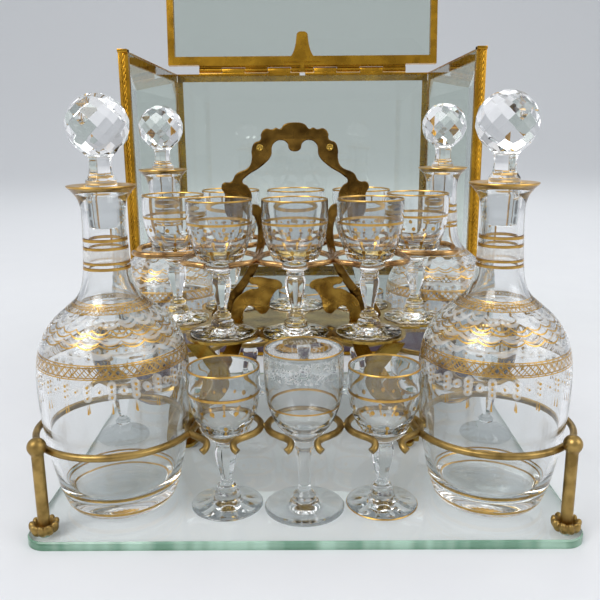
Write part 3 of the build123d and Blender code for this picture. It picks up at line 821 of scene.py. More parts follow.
@dataclass(frozen=True)
class Scrolls(Motif):
    """A band of fine engraved scrollwork, cut white into the glass."""

    stem: float = 2.6
    fine: float = 0.035

    def mask(self, on: Wrapping) -> Any:
        """Thin winding lines: the places where a soft noise passes its middle value.

        Args:
            on: the nodes, with the piece's map.

        Returns:
            The node that holds the share.
        """
        wind = on.noise(self.stem, 0.0, Distortion=1.2)
        away = on.sums("ABSOLUTE", on.sums("SUBTRACT", wind, 0.5))
        return on.sums("MULTIPLY", on.sums("LESS_THAN", away, self.fine), self.within(on))


@dataclass(frozen=True)
class Glass(Finish):
    """Clear glass, blown or cast: a hint of colour, faint smears, and the gilding laid on it."""

    tint: str = "FBFCFC"
    ior: float = 1.5
    wave: float = 9.0
    ripple: float = 0.02
    motifs: tuple[Motif, ...] = ()
    gold: str = "E0B868"
    gold_dark: str = "AC8038"
    frost_share: float = 0.38
    deepest: float = 4.5

    def marks(self, on: Wrapping, laid: Laid) -> Any:
        """The share of the surface that one kind of decoration covers.

        Args:
            on: the nodes, with the piece's map.
            laid: the kind of decoration asked for.

        Returns:
            The node that holds the share, or None where nothing is laid.
        """
        masks = [motif.mask(on) for motif in self.motifs if motif.laid is laid]
        if not masks:
            return None
        return reduce(lambda found, mask: on.sums("MAXIMUM", found, mask), masks)

    def paint(self, graph: Graph) -> Any:
        """Glass that lets lamplight through, with gold and etching mixed in by the motifs.

        Args:
            graph: the material's nodes.

        Returns:
            The surface's shader.
        """
        smear = graph.noise(self.wave, 2.0)
        rough = graph.span(smear, 0.45, 0.75, (0.0, 0.05))
        bump = graph.relief(smear, 0.4, self.ripple)
        joins = {"IOR": self.ior, "Transmission Weight": 1.0, "Normal": bump}
        surface = graph.body(self.tint, rough, joins)
        path = lay(graph.tree, "LightPath", {})
        deep = graph.sums("GREATER_THAN", path.outputs["Ray Depth"], self.deepest)
        open_way = graph.sums("MAXIMUM", path.outputs["Is Shadow Ray"], deep)
        clear = lay(graph.tree, "BsdfTransparent", {"Color": linear("F2F4F4")})
        surface = graph.over(open_way, surface, clear)
        if not self.motifs:
            return surface
        parts = lay(graph.tree, "SeparateXYZ", {0: lay(graph.tree, "UVMap", {}, uv_map="wrap")})
        up = graph.sums("MULTIPLY", parts.outputs[1], 100.0)
        on = Wrapping(graph.tree, parts.outputs[0], up)
        etched = self.marks(on, Laid.ETCHED)
        if etched is not None:
            frost = graph.body("F4F3F0", 0.6, {"IOR": self.ior, "Transmission Weight": 0.3})
            share = graph.sums("MULTIPLY", etched, self.frost_share)
            surface = graph.over(share, surface, frost)
        gilt = self.marks(on, Laid.GOLD)
        if gilt is not None:
            tone = graph.blend(graph.noise(3.0, 4.0), self.gold, self.gold_dark)
            leaf = graph.body(tone, 0.28, {"Metallic": 1.0})
            surface = graph.over(gilt, surface, leaf)
        return surface


@dataclass(frozen=True)
class SlabGlass(Glass):
    """Thick plate glass, clear through its face and green where its edge is seen."""

    edge: str = "5F8F72"
    edge_light: str = "A3CBB3"
    flat: float = 0.8

    def paint(self, graph: Graph) -> Any:
        """Clear glass with a deeper tint on the faces that look sideways.

        Args:
            graph: the material's nodes.

        Returns:
            The surface's shader.
        """
        clear = super().paint(graph)
        faced = lay(graph.tree, "SeparateXYZ", {0: graph.where("Normal")})
        side = graph.sums("LESS_THAN", graph.sums("ABSOLUTE", faced.outputs[2]), self.flat)
        stretched = {"Vector": graph.where(), "Scale": (1.0, 1.0, 0.1)}
        bands = graph.noise(16.0, 2.0, Vector=lay(graph.tree, "Mapping", stretched))
        tone = graph.blend(graph.span(bands, 0.4, 0.62), self.edge, self.edge_light)
        green = graph.body(tone, 0.12, {"IOR": self.ior, "Transmission Weight": 0.4})
        return graph.over(side, clear, green)


@dataclass(frozen=True)
class Velvet(Finish):
    """Dark velvet with a short pile, rubbed paler in patches."""

    deep: str = "2E1F2E"
    rubbed: str = "5B4A5E"
    pile: float = 0.8

    def paint(self, graph: Graph) -> Any:
        """A rough cloth with a pale sheen and a fine nap.

        Args:
            graph: the material's nodes.

        Returns:
            The surface's shader.
        """
        tone = graph.blend(graph.noise(30.0, 4.0), self.deep, self.rubbed)
        bump = graph.relief(graph.noise(self.pile, 2.0), 0.6, 0.2)
        return graph.body(tone, 0.9, {"Sheen Weight": 0.4, "Normal": bump})


@dataclass(frozen=True)
class Silvering(Finish):
    """Old mirror glass, a little clouded."""

    bright: str = "D9DCDD"
    cloud: str = "A9A9A6"

    def paint(self, graph: Graph) -> Any:
        """A near perfect mirror with faint clouds.

        Args:
            graph: the material's nodes.

        Returns:
            The surface's shader.
        """
        fog = graph.noise(25.0, 5.0)
        tone = graph.blend(graph.span(fog, 0.5, 0.8, (0.0, 0.6)), self.bright, self.cloud)
        rough = graph.span(fog, 0.0, 1.0, (0.02, 0.1))
        return graph.body(tone, rough, {"Metallic": 1.0})


# Cast and drawn brass of the case, browned by age.
CASE_BRASS = AgedBrass("aged_case_brass", "CC9A30", "A67A24", 26.0)
# Heavier gilt on the lower wires, matt and a little ochre.
GILT_WIRE = AgedBrass("matt_gilt_wire", "B29458", "80683A", 9.0, dull=0.42, shine=0.3)
# The upper wires, whose gilding has a copper cast.
ROSE_WIRE = AgedBrass("rose_gilt_wire", "CDA46C", "805C38", 7.0, dull=0.3, shine=0.16)
# The cast handle, olive brown with darker clouds at random, and darker all over than the case
# brass: that darkness is painted shade.
CAST_BRASS = AgedBrass("cast_handle_brass", "80602A", "4A3414", 11.0, dull=0.36)
# The leaf scrolls, brighter than the handle but darker than the case brass, that darkness painted
# shade.
LEAF_BRASS = AgedBrass("cast_leaf_brass", "A8843A", "6A4C1C", 9.0)
# The tray's feet, nearly black with a red cast.
FOOT_BRASS = AgedBrass("near_black_red_foot_brass", "5E3022", "32170F", 6.0, dull=0.5, shine=0.4)
# Rolled sheet brass of the shelf, legs and pads, still yellow.
SHEET_BRASS = AgedBrass("rolled_sheet_brass", "C4A24E", "8C6E2C", 16.0, dull=0.26, shine=0.12)
# Old plate glass of the case, faintly green grey.
PANE = Glass("bevelled_plate_glass", tint="D8E1DA", wave=60.0, ripple=0.003)
# The tray's thick slab, nearly colourless through its face.
SLAB = SlabGlass("thick_slab_glass", tint="F7FAF8", wave=50.0, ripple=0.01)
# The stoppers' lead crystal.
PLAIN_CRYSTAL = Glass("clear_cut_crystal", tint="FCFCFC", ior=1.52)
# The plinth's face and the case's floor.
VELVET = Velvet("aubergine_velvet")
MIRROR = Silvering("clouded_mirror")
# The decanters' gold lines, scallops, lattice and drops, with etching between them.
DECANTER_GILDING = Glass(
    "gilded_decanter_crystal",
    motifs=(
        Motif(183.0, 185.2),
        Motif(154.3, 155.7),
        Motif(149.9, 151.1),
        Motif(142.0, 143.0),
        Motif(138.9, 140.1),
        Lattice(143.4, 149.6, Laid.ETCHED, count=40, pitch=2.4, duty=0.6, edge=0.3),
        Lattice(117.6, 121.0, count=56, pitch=3.4, duty=0.18, edge=0.35),
        Swags(112.2, 114.2, Laid.ETCHED, count=19, pitch=12.2, start=0.5, line=0.8),
        Swags(107.6, 109.4, count=19, pitch=12.2, line=0.36),
        Swags(105.2, 107.0, Laid.ETCHED, count=19, pitch=12.2, start=0.5, line=0.8),
        Swags(102.8, 104.8, count=19, pitch=12.6, start=0.5, line=0.36),
        Swags(98.4, 100.6, Laid.ETCHED, count=19, pitch=12.8, line=0.8),
        Lattice(87.6, 94.2, count=60, pitch=4.4, duty=0.15, edge=0.6),
        Dots(82.8, 84.8, Laid.ETCHED, count=21, pitch=12.8, radius=2.5, inner=1.0),
        Dots(80.2, 82.2, Laid.ETCHED, count=42, pitch=6.4, start=0.5, radius=2.3, inner=0.9),
        Dots(77.0, 79.0, Laid.ETCHED, count=21, pitch=12.8, radius=2.2, inner=0.8),
        Dots(82.8, 84.8, count=21, pitch=12.8, radius=0.8),
        Dots(80.2, 82.2, count=42, pitch=6.4, start=0.5, radius=0.6),
        Dots(77.0, 79.0, count=21, pitch=12.8, radius=0.6),
        Drops(69.0, 74.6, count=21, pitch=12.8, width=0.55),
        Motif(14.4, 15.4),
        Motif(4.0, 5.9),
    ),
)
# The small glasses' rims, dots and drops.
GLASS_GILDING = Glass(
    "gilded_glass_crystal",
    motifs=(
        Motif(84.0, 86.0),
        Motif(69.9, 71.3),
        Dots(62.0, 64.0, count=9, pitch=14.0, radius=1.25),
        Dots(61.6, 63.6, count=9, pitch=14.0, start=0.5, radius=0.8),
        Dots(53.2, 54.2, count=10, pitch=10.8),
        Drops(49.4, 53.2, count=10, pitch=10.8, width=0.9),
    ),
)
# The one small glass whose foot is gilt round its rim as well.
RIMMED_FOOT_GILDING = replace(
    GLASS_GILDING,
    name="gilded_glass_crystal_with_rimmed_foot",
    motifs=(*GLASS_GILDING.motifs, Motif(0.35, 1.25)),
)
# The large glass: two gold lines and a band of engraving.
LARGE_GLASS_GILDING = Glass(
    "engraved_glass_crystal",
    motifs=(
        Motif(95.7, 97.5),
        Scrolls(82.0, 94.0, Laid.ETCHED, stem=3.4),
        Motif(64.0, 64.8),
    ),
)


# ------------------------------------------------------------------------------------- studio
@dataclass
class Studio:
    """The camera at the photograph's angle, soft lamps, and a pale floor that sweeps up behind."""

    focal: float = 705.0
    frame_size: float = 600.0
    sensor: float = 36.0
    eye: Place = (0.5, -661.565, 221.0)
    pitch: float = 13.3
    yaw: float = 0.35
    roll: float = -0.45
    floor_wide: float = 14.0
    floor_deep: float = 9.0
    floor_back: float = 2.2
    sweep: Profile = ((0.5, 0.06), (0.4, 0.18), (0.3, 0.35), (0.2, 0.6), (0.05, 3.0))
    sky_dark: float = 0.45
    sky_light: float = 0.85
    sky_through: float = 0.9

    def camera(self) -> None:
        """Sets the camera from the measured pitch, yaw and roll."""
        lens = bpy.data.cameras.new("camera")
        lens.sensor_width = self.sensor
        lens.lens = self.sensor * self.focal / self.frame_size
        lens.clip_start, lens.clip_end = 0.01, 50.0
        eye = bpy.data.objects.new("camera", lens)
        bpy.context.scene.collection.objects.link(eye)
        pitch, yaw, roll = (math.radians(a) for a in (self.pitch, self.yaw, self.roll))
        ahead = Vector(
            (-math.sin(yaw) * math.cos(pitch), math.cos(yaw) * math.cos(pitch), -math.sin(pitch))
        )
        right = Vector((math.cos(yaw), math.sin(yaw), 0))
        up = right.cross(ahead)
        side = right * math.cos(roll) + up * math.sin(roll)
        top = up * math.cos(roll) - right * math.sin(roll)
        turn = Matrix((side, top, -ahead)).transposed().to_4x4()
        eye.matrix_world = Matrix.Translation(Vector(self.eye) * MM) @ turn
        bpy.context.scene.camera = eye

    def floor(self) -> None:
        """A plain floor whose back edge is drawn up into a smooth sweep."""
        Bench.clear()
        bpy.ops.mesh.primitive_plane_add(size=1, location=(0, 0, 0))
        sweep = Bench.named("floor_sweep")
        sweep.scale = (self.floor_wide, self.floor_deep, 1)
        sweep.location = (0, self.floor_back - self.floor_deep / 2, 0)
        Bench.hold(sweep)
        bpy.ops.object.transform_apply(location=True, rotation=True, scale=True)
        with Bench.editing(sweep, "EDGE"):
            edge_of = self.floor_back - 0.1
            Bench.pick(sweep, "edges", lambda edge: min(v.co.y for v in edge.verts) > edge_of)
            for ahead, rise in self.sweep:
                bpy.ops.mesh.extrude_region_move(TRANSFORM_OT_translate={"value": (0, ahead, rise)})
        Bench.shape(sweep, "SUBSURF", levels=2, render_levels=2)
        Bench.hold(sweep)
        bpy.ops.object.shade_smooth()
        ground = bpy.data.materials.new("pale_paper_sweep")
        ground.use_nodes = True
        ground.node_tree.nodes.clear()
        graph = Graph(ground.node_tree)
        tone = graph.blend(graph.noise(40.0, 3.0), "E6E7E9", "E2E3E6")
        depth = lay(graph.tree, "SeparateXYZ", {0: graph.where()})
        tone = graph.blend(graph.span(depth.outputs[1], 0.3, 1.6), tone, "E4E6E8")
        lay(graph.tree, "OutputMaterial", {"Surface": graph.body(tone, 0.85, {})})
        sweep.data.materials.append(ground)

    def lamps(self) -> None:
        """Three soft boxes, each aimed at the object."""
        for name, spot, aim, size, power in (
            ("key_box", (-1.1, -1.3, 1.7), (0, -0.05, 0.2), 1.1, 20.0),
            ("fill_box", (1.5, -1.0, 1.2), (0, -0.05, 0.2), 1.2, 9.0),
            ("back_box", (0.3, 1.5, 1.8), (0, 0.0, 0.3), 1.2, 10.0),
        ):
            light = bpy.data.lights.new(name, "AREA")
            light.size = size
            light.energy = power
            lamp = bpy.data.objects.new(name, light)
            bpy.context.scene.collection.objects.link(lamp)
            lamp.location = spot
            aimed = Vector(aim) - Vector(spot)
            lamp.rotation_euler = aimed.to_track_quat("-Z", "Y").to_euler()

    def sky(self) -> None:
        """A pale sky, darker behind the camera, but bright to rays that came through glass."""
        world = bpy.data.worlds.new("studio_sky")
        bpy.context.scene.world = world
        world.use_nodes = True
        world.node_tree.nodes.clear()
        graph = Graph(world.node_tree)
        way = lay(graph.tree, "SeparateXYZ", {0: graph.where("Generated")})
        level = graph.span(way.outputs[1], -0.95, -0.35, (self.sky_dark, self.sky_light))
        through = lay(graph.tree, "LightPath", {}).outputs["Is Transmission Ray"]
        glow = graph.sums("MULTIPLY", through, self.sky_through)
        level = graph.sums("MAXIMUM", level, glow)
        sky = lay(graph.tree, "Background", {"Color": linear("F0F2F6"), "Strength": level})
        lay(graph.tree, "OutputWorld", {"Surface": sky})

    def build(self) -> None:
        """Sets the whole studio up."""
        bpy.context.scene.view_settings.view_transform = "Standard"
        self.camera()
        self.floor()
        self.lamps()
        self.sky()
        log.info("studio ready")


# ---------------------------------------------------------------------------------------- case
@dataclass
class DisplayCase:
    """The plinth, its posts and rails, the panes and the open lid."""

    nodes: dict[str, bpy.types.Object]
    rope_radius: float = 2.9
    rope_depth: float = 0.8
    rope_strands: int = 6
    rope_lead: float = 33.0
    rope_offset: float = 0.7
    rope_cuts: Sequence[int] = (100, 1)
    post: float = 9.0
    bar_back: float = 2.4
    bar_short: float = 0.2
    cap_height: float = 3.0
    hinge_length: float = 267.0
    hinge_back: float = 3.5
    knuckle: float = 3.2
    knuckle_gap: float = 0.4
    knuckle_soft: float = 0.25
    knuckle_count: int = 9
    leaf_thick: float = 1.2
    leaf_depth: float = 10.8
    notch_width: float = 7.0
    notch_deep: float = 4.0
    lid_gap: float = 6.3
    lid_angle: float = 95.0
    brass: Sequence[str] = (
        "case_feet",
        "plinth_bands",
        "back_posts",
        "side_rails",
        "back_rails",
        "hinge_pin",
        "lid_frame",
        "lid_hinge_leaf",
        "lid_stop",
        "lid_stop_screw",
    )
    panes: Sequence[str] = ("side_panes", "back_pane", "lid_pane")

    def rope(self, length: float) -> bpy.types.Object:
        """One reeded column, twisted like rope.

        Args:
            length: its height in mm.

        Returns:
            The column, standing on the origin.
        """
        Bench.clear()
        bpy.ops.mesh.primitive_circle_add(
            vertices=6 * self.rope_strands, radius=self.rope_radius * MM, fill_type="NGON"
        )
        rope = Bench.named("rope")
        with Bench.editing(rope, all_of_it=True):
            bpy.ops.mesh.extrude_region_move(TRANSFORM_OT_translate={"value": (0, 0, length * MM)})
        for cuts in self.rope_cuts:
            with Bench.editing(rope, "EDGE"):
                Bench.pick(
                    rope, "edges", lambda edge: abs(edge.verts[0].co.z - edge.verts[1].co.z) > 1e-4
                )
                bpy.ops.mesh.subdivide(number_cuts=cuts)

        def flute(point: Vector) -> Vector:
            """Draws the hollows between the strands inwards.

            Args:
                point: the point's place in metres.

            Returns:
                Its place after the cut.
            """
            angle = math.atan2(point.y, point.x) * self.rope_strands / 2
            deep = 1 - self.rope_depth / self.rope_radius * (1 - abs(math.cos(angle)))
            return Vector((point.x * deep, point.y * deep, point.z))

        Bench.move_points(rope, flute)
        turns = length / self.rope_lead
        twist = {"deform_method": "TWIST", "deform_axis": "Z", "angle": math.tau * turns}
        Bench.shape(rope, "SIMPLE_DEFORM", **twist)
        return Bench.close(rope, 60)

    def front_posts(self) -> None:
        """The pair of corner posts, each a square bar with a rope sunk in its face and a cap."""
        low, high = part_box("front_rope_posts")
        tall = (high.z - low.z) / MM
        half = self.post / 2
        posts = []
        for way, side in ((-1, low.x + half * MM), (1, high.x - half * MM)):
            rope = self.rope(tall - 2 * self.cap_height)
            sunk = self.rope_radius - half
            Bench.shift(rope, Vector((way * self.rope_offset, sunk, self.cap_height)) * MM)
            parts = [rope]
            for foot, head, back in (
                (self.bar_short, tall - self.bar_short, self.bar_back),
                (0.0, self.cap_height, 0.0),
                (tall - self.cap_height, tall, 0.0),
            ):
                size = (self.post, self.post - back, head - foot)
                parts.append(Bench.block("bar", size, (0, back / 2, (foot + head) / 2), 0.4))
            post = Bench.join(f"post_{way}", parts)
            Bench.shift(post, (side, (low.y + high.y) / 2, low.z))
            posts.append(post)
        joined = Bench.join("twisted_front_posts", posts)
        place(joined, CASE_BRASS, "case", "case_brass", "front_rope_posts")

    def leaf_of_hinge(self, axis: Vector) -> None:
        """The case's hinge leaf, kept behind the rail, with every second knuckle.

        Args:
            axis: the pin's middle in metres.
        """
        step = (self.hinge_length + self.knuckle_gap) / self.knuckle_count
        long = step - self.knuckle_gap
        behind = self.leaf_thick / 2 - self.hinge_back
        top = -self.knuckle - self.knuckle_gap
        parts = []
        for number in range(1, self.knuckle_count, 2):
            middle = -self.hinge_length / 2 + number * step + long / 2
            Bench.clear()
            bpy.ops.mesh.primitive_cylinder_add(
                vertices=32,
                radius=self.knuckle * MM,
                depth=long * MM,
                location=(middle * MM, 0, 0),
                rotation=(0, math.radians(90), 0),
            )
            knuckle = Bench.named("knuckle")
            Bench.shape(knuckle, "BEVEL", width=self.knuckle_soft * MM, segments=2)
            parts.append(Bench.close(knuckle))
            size = (long, self.leaf_thick, self.knuckle)
            parts.append(Bench.block("tab", size, (middle, behind, top + self.knuckle / 2)))
        wing = (self.hinge_length - self.notch_width) / 2
        for way in (-1, 1):
            spot = (way * (self.notch_width + wing) / 2, behind, top - self.leaf_depth / 2)
            parts.append(Bench.block("wing", (wing, self.leaf_thick, self.leaf_depth), spot))
        under = self.leaf_depth - self.notch_deep
        spot = (0, behind, top - self.notch_deep - under / 2)
        parts.append(Bench.block("bridge", (self.notch_width + 1, self.leaf_thick, under), spot))
        leaf = Bench.join("case_leaf_of_hinge", parts)
        Bench.shift(leaf, axis)
        place(leaf, CASE_BRASS, "case", "case_brass", "case_hinge_leaf")

    def shut_strip(self, axis: Vector) -> None:
        """The thin strip that rides the lid and shuts its gap.

        Args:
            axis: the pin's middle in metres.
        """
        inner, outer = self.knuckle + self.knuckle_gap, self.lid_gap - self.leaf_thick
        size = (self.hinge_length, self.leaf_thick, outer - inner + 0.2)
        strip = Bench.block("shut_strip", size, (0, 0, (inner + outer) / 2))
        lean = Matrix.Rotation(math.radians(90 - self.lid_angle), 4, "X")
        strip.data.transform(Matrix.Translation(axis) @ lean)
        place(strip, CASE_BRASS, "lid", "case_brass")

    def build(self) -> None:
        """Makes the rope posts and the hinge, and dresses the rest."""
        self.front_posts()
        low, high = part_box("hinge_pin")
        self.leaf_of_hinge((low + high) / 2)
        self.shut_strip((low + high) / 2)
        CASE_BRASS.dress(*(self.nodes[node] for node in self.brass))
        PANE.dress(*(self.nodes[node] for node in self.panes))
        VELVET.dress(self.nodes["plinth_panel"])
        MIRROR.dress(self.nodes["case_floor_mirror"])
        log.info("case dressed")


# ------------------------------------------------------------------------------------ wirework
@dataclass(frozen=True)
class Wirework:
    """The front, back and side clips of one level, in round wire with soldered joints.

    Half is the right half of one clip's line, from the back round to the mouth. Links and
    joints are given for the front row, and the back row is the front one turned round.
    """

    level: str
    finish: AgedBrass
    slot: str
    wire: float
    up: float
    clip: float
    pitch: float
    row: float
    side: float
    lump: float
    half: Sequence[Place]
    joints: Sequence[Place]
    links: Sequence[Sequence[Place]] = ()
    side_links: Sequence[Sequence[Place]] = ()

    def line(self) -> list[Place]:
        """One clip's line in mm, opening toward -Y: from one mouth end round to the other."""
        left = [(-x, y, z) for x, y, z in reversed(self.half)]
        return [*left, (0.0, self.clip, 0.0), *self.half]

    def solder(self, spots: Sequence[Place]) -> bpy.types.Object:
        """Small lumps of solder where wires touch.

        Args:
            spots: the lumps' places in mm.

        Returns:
            The lumps as one object.
        """
        Bench.clear()
        bpy.ops.mesh.primitive_ico_sphere_add(subdivisions=2, radius=self.wire * self.lump * MM)
        lump = Bench.named("lump")
        with Bench.editing(lump, all_of_it=True):
            bpy.ops.transform.resize(value=(1.15, 1.0, 0.8), center_override=(0, 0, 0))
        Bench.close(lump, 60)
        lumps = [Bench.twin(lump, f"lump_{i}", Vector(s) * MM) for i, s in enumerate(spots)]
        bpy.data.objects.remove(lump)
        return Bench.join("solder", lumps)

    def build(self, middle: Vector) -> None:
        """Makes the front, back and side rows, and sets them on the tray.

        Args:
            middle: the middle that they stand round, on the slab's top face, in metres.
        """
        line = self.line()
        front = [
            [(x + step * self.pitch, y - self.row, z) for x, y, z in line] for step in (-1, 0, 1)
        ]
        level = middle + Vector((0, 0, self.up * MM))
        for name, turn in (("front", 1), ("back", -1)):
            runs = [[(x * turn, y * turn, z) for x, y, z in run] for run in (*front, *self.links)]
            spots = [(x * turn, y * turn, z) for x, y, z in self.joints]
            parts = [Bench.wire("row", runs, self.wire), self.solder(spots)]
            row = Bench.join(f"{self.level}_clip_row_{name}", parts)
            Bench.shift(row, level)
            place(row, self.finish, "tray", self.slot, f"{self.level}_clips_{name}")
        runs = [[(way * (self.side - y), way * x, z) for x, y, z in line] for way in (-1, 1)]
        sides = Bench.wire(f"{self.level}_clip_sides", [*runs, *self.side_links], self.wire)
        Bench.shift(sides, level)
        place(sides, self.finish, "tray", self.slot, f"{self.level}_side_clips")


# ---------------------------------------------------------------------------------------- tray
@dataclass
class Tray:
    """The glass slab with its corner posts and the lower rings and clips."""

    nodes: dict[str, bpy.types.Object]
    wire: float = 2.0
    ring: float = 45.4
    ring_sides: int = 14
    ring_steps: int = 96
    ring_row: float = 86.0
    wire_up: float = 46.0
    clip: float = 21.0
    clip_pitch: float = 46.1
    clip_row: float = 89.5
    side_clip: float = 122.0
    link_end: float = 106.5
    link_bow: float = 105.0
    half_clip: Sequence[Place] = (
        (12.0, 17.2, 0.0), (18.6, 9.8, 0.0), (21.0, 0.0, 0.0), (18.9, -9.0, 0.0),
        (14.0, -14.8, 0.0), (9.6, -18.6, -0.2), (7.4, -22.4, -0.8), (7.9, -25.6, -2.4),
        (9.8, -27.0, -3.8),
    )
    post: float = 3.25
    post_reach: float = 8.5
    ball: float = 5.2
    ball_up: float = 50.0
    petals: int = 9
    petal_lean: float = 0.12
    petal_waist: float = 0.86
    petal_swell: float = 0.2
    petal_lift: float = 1.3
    collar_top: float = 7.0
    spigot: Profile = ((2.5, -7.5), (2.5, -0.2))
    collar: Profile = (
        (5.6, 0.0), (6.6, 0.7), (7.5, 2.2), (7.8, 4.2), (7.4, 5.8), (6.2, 6.4), (5.0, 5.6),
        (4.2, 4.2),
    )

    @property
    def middle(self) -> Vector:
        """The middle of the slab's top face, in metres."""
        low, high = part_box("tray_slab")
        return Vector(((low.x + high.x) / 2, (low.y + high.y) / 2, high.z))

    def rings(self) -> None:
        """The four decanter rings, each a wire spun round its middle."""
        Bench.clear()
        bpy.ops.mesh.primitive_circle_add(
            vertices=self.ring_sides,
            radius=self.wire * MM,
            location=(self.ring * MM, 0, 0),
            rotation=(math.radians(90), 0, 0),
        )
        ring = Bench.named("ring")
        Bench.hold(ring)
        bpy.ops.object.transform_apply(location=True, rotation=True)
        with Bench.editing(ring, "EDGE", all_of_it=True):
            bpy.ops.mesh.spin(
                steps=self.ring_steps, angle=math.tau, center=(0, 0, 0), axis=(0, 0, 1)
            )
        Bench.close(ring, 50)
        for corner in CORNERS:
            node = f"decanter_ring_{corner}"
            low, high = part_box(node)
            made = Bench.twin(ring, f"ring_wire_{corner}", (low + high) / 2)
            place(made, GILT_WIRE, "tray", "gilt_wire", node)
        bpy.data.objects.remove(ring)

    def clips(self) -> Wirework:
        """The lower clips, soldered to each other, and linked to the rings at the sides.

        Returns:
            The wirework, not yet built.
        """
        ends = (14.2, 28.0, self.ring_row - self.ring)
        ways = [(way, end) for way in (-1, 1) for end in (-1, 1)]
        return Wirework(
            level="lower",
            finish=GILT_WIRE,
            slot="gilt_wire",
            wire=self.wire,
            up=self.wire_up,
            clip=self.clip,
            pitch=self.clip_pitch,
            row=self.clip_row,
            side=self.side_clip,
            lump=1.05,
            half=self.half_clip,
            joints=[(step * self.clip_pitch / 2, -self.clip_row, 0.0) for step in (-3, -1, 1, 3)],
            side_links=[
                [
                    (way * out, end * along, 0.0)
                    for out, along in zip((self.link_end, self.link_bow, self.link_end), ends)
                ]
                for way, end in ways
            ],
        )

    def posts(self) -> None:
        """The four corner posts, each with a petalled collar and a ball."""
        slopes = [math.radians(a) for a in (50, 70, 90, 110, 130, 150, 168)]
        profile = [
            *self.spigot,
            *self.collar,
            (self.post + 0.2, 3.6),
            *((self.post, up) for up in (4.0, 6.0, 30.0, 44.6, 45.6)),
            *((self.ball * math.sin(a), self.ball_up - self.ball * math.cos(a)) for a in slopes),
        ]
        post = Bench.turned("post", profile, sides=40)

        def fold(point: Vector) -> Vector:
            """Folds the collar into a crown of small petals round the rod.

            Args:
                point: the point's place in metres.

            Returns:
                Its place after the fold.
            """
            up, out = point.z / MM, point.xy.length / MM
            if up > self.collar_top or out < self.post + 0.6:
                return point
            around = math.atan2(point.y, point.x)
            crest = abs(math.cos(self.petals / 2 * around + self.petal_lean * up))
            swell = self.petal_waist + self.petal_swell * crest
            lift = self.petal_lift * (crest - 0.5) * min(1.0, up / 4.0)
            return Vector((point.x * swell, point.y * swell, point.z + lift * MM))

        Bench.move_points(post, fold)
        low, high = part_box("corner_posts")
        reach = self.post_reach * MM
        spots = [
            Vector((x, y, self.middle.z))
            for x in (low.x + reach, high.x - reach)
            for y in (low.y + reach, high.y - reach)
        ]
        parts = [Bench.twin(post, f"post_{i}", spot, 40 * i) for i, spot in enumerate(spots)]
        bpy.data.objects.remove(post)
        posts = Bench.join("knotted_corner_posts", parts)
        place(posts, GILT_WIRE, "tray", "gilt_wire", "corner_posts")

    def build(self) -> None:
        """Makes the wires and posts, and dresses the slab and its feet."""
        self.rings()
        self.clips().build(self.middle)
        self.posts()
        SLAB.dress(self.nodes["tray_slab"])
        FOOT_BRASS.dress(self.nodes["tray_feet"])
        log.info("tray dressed")


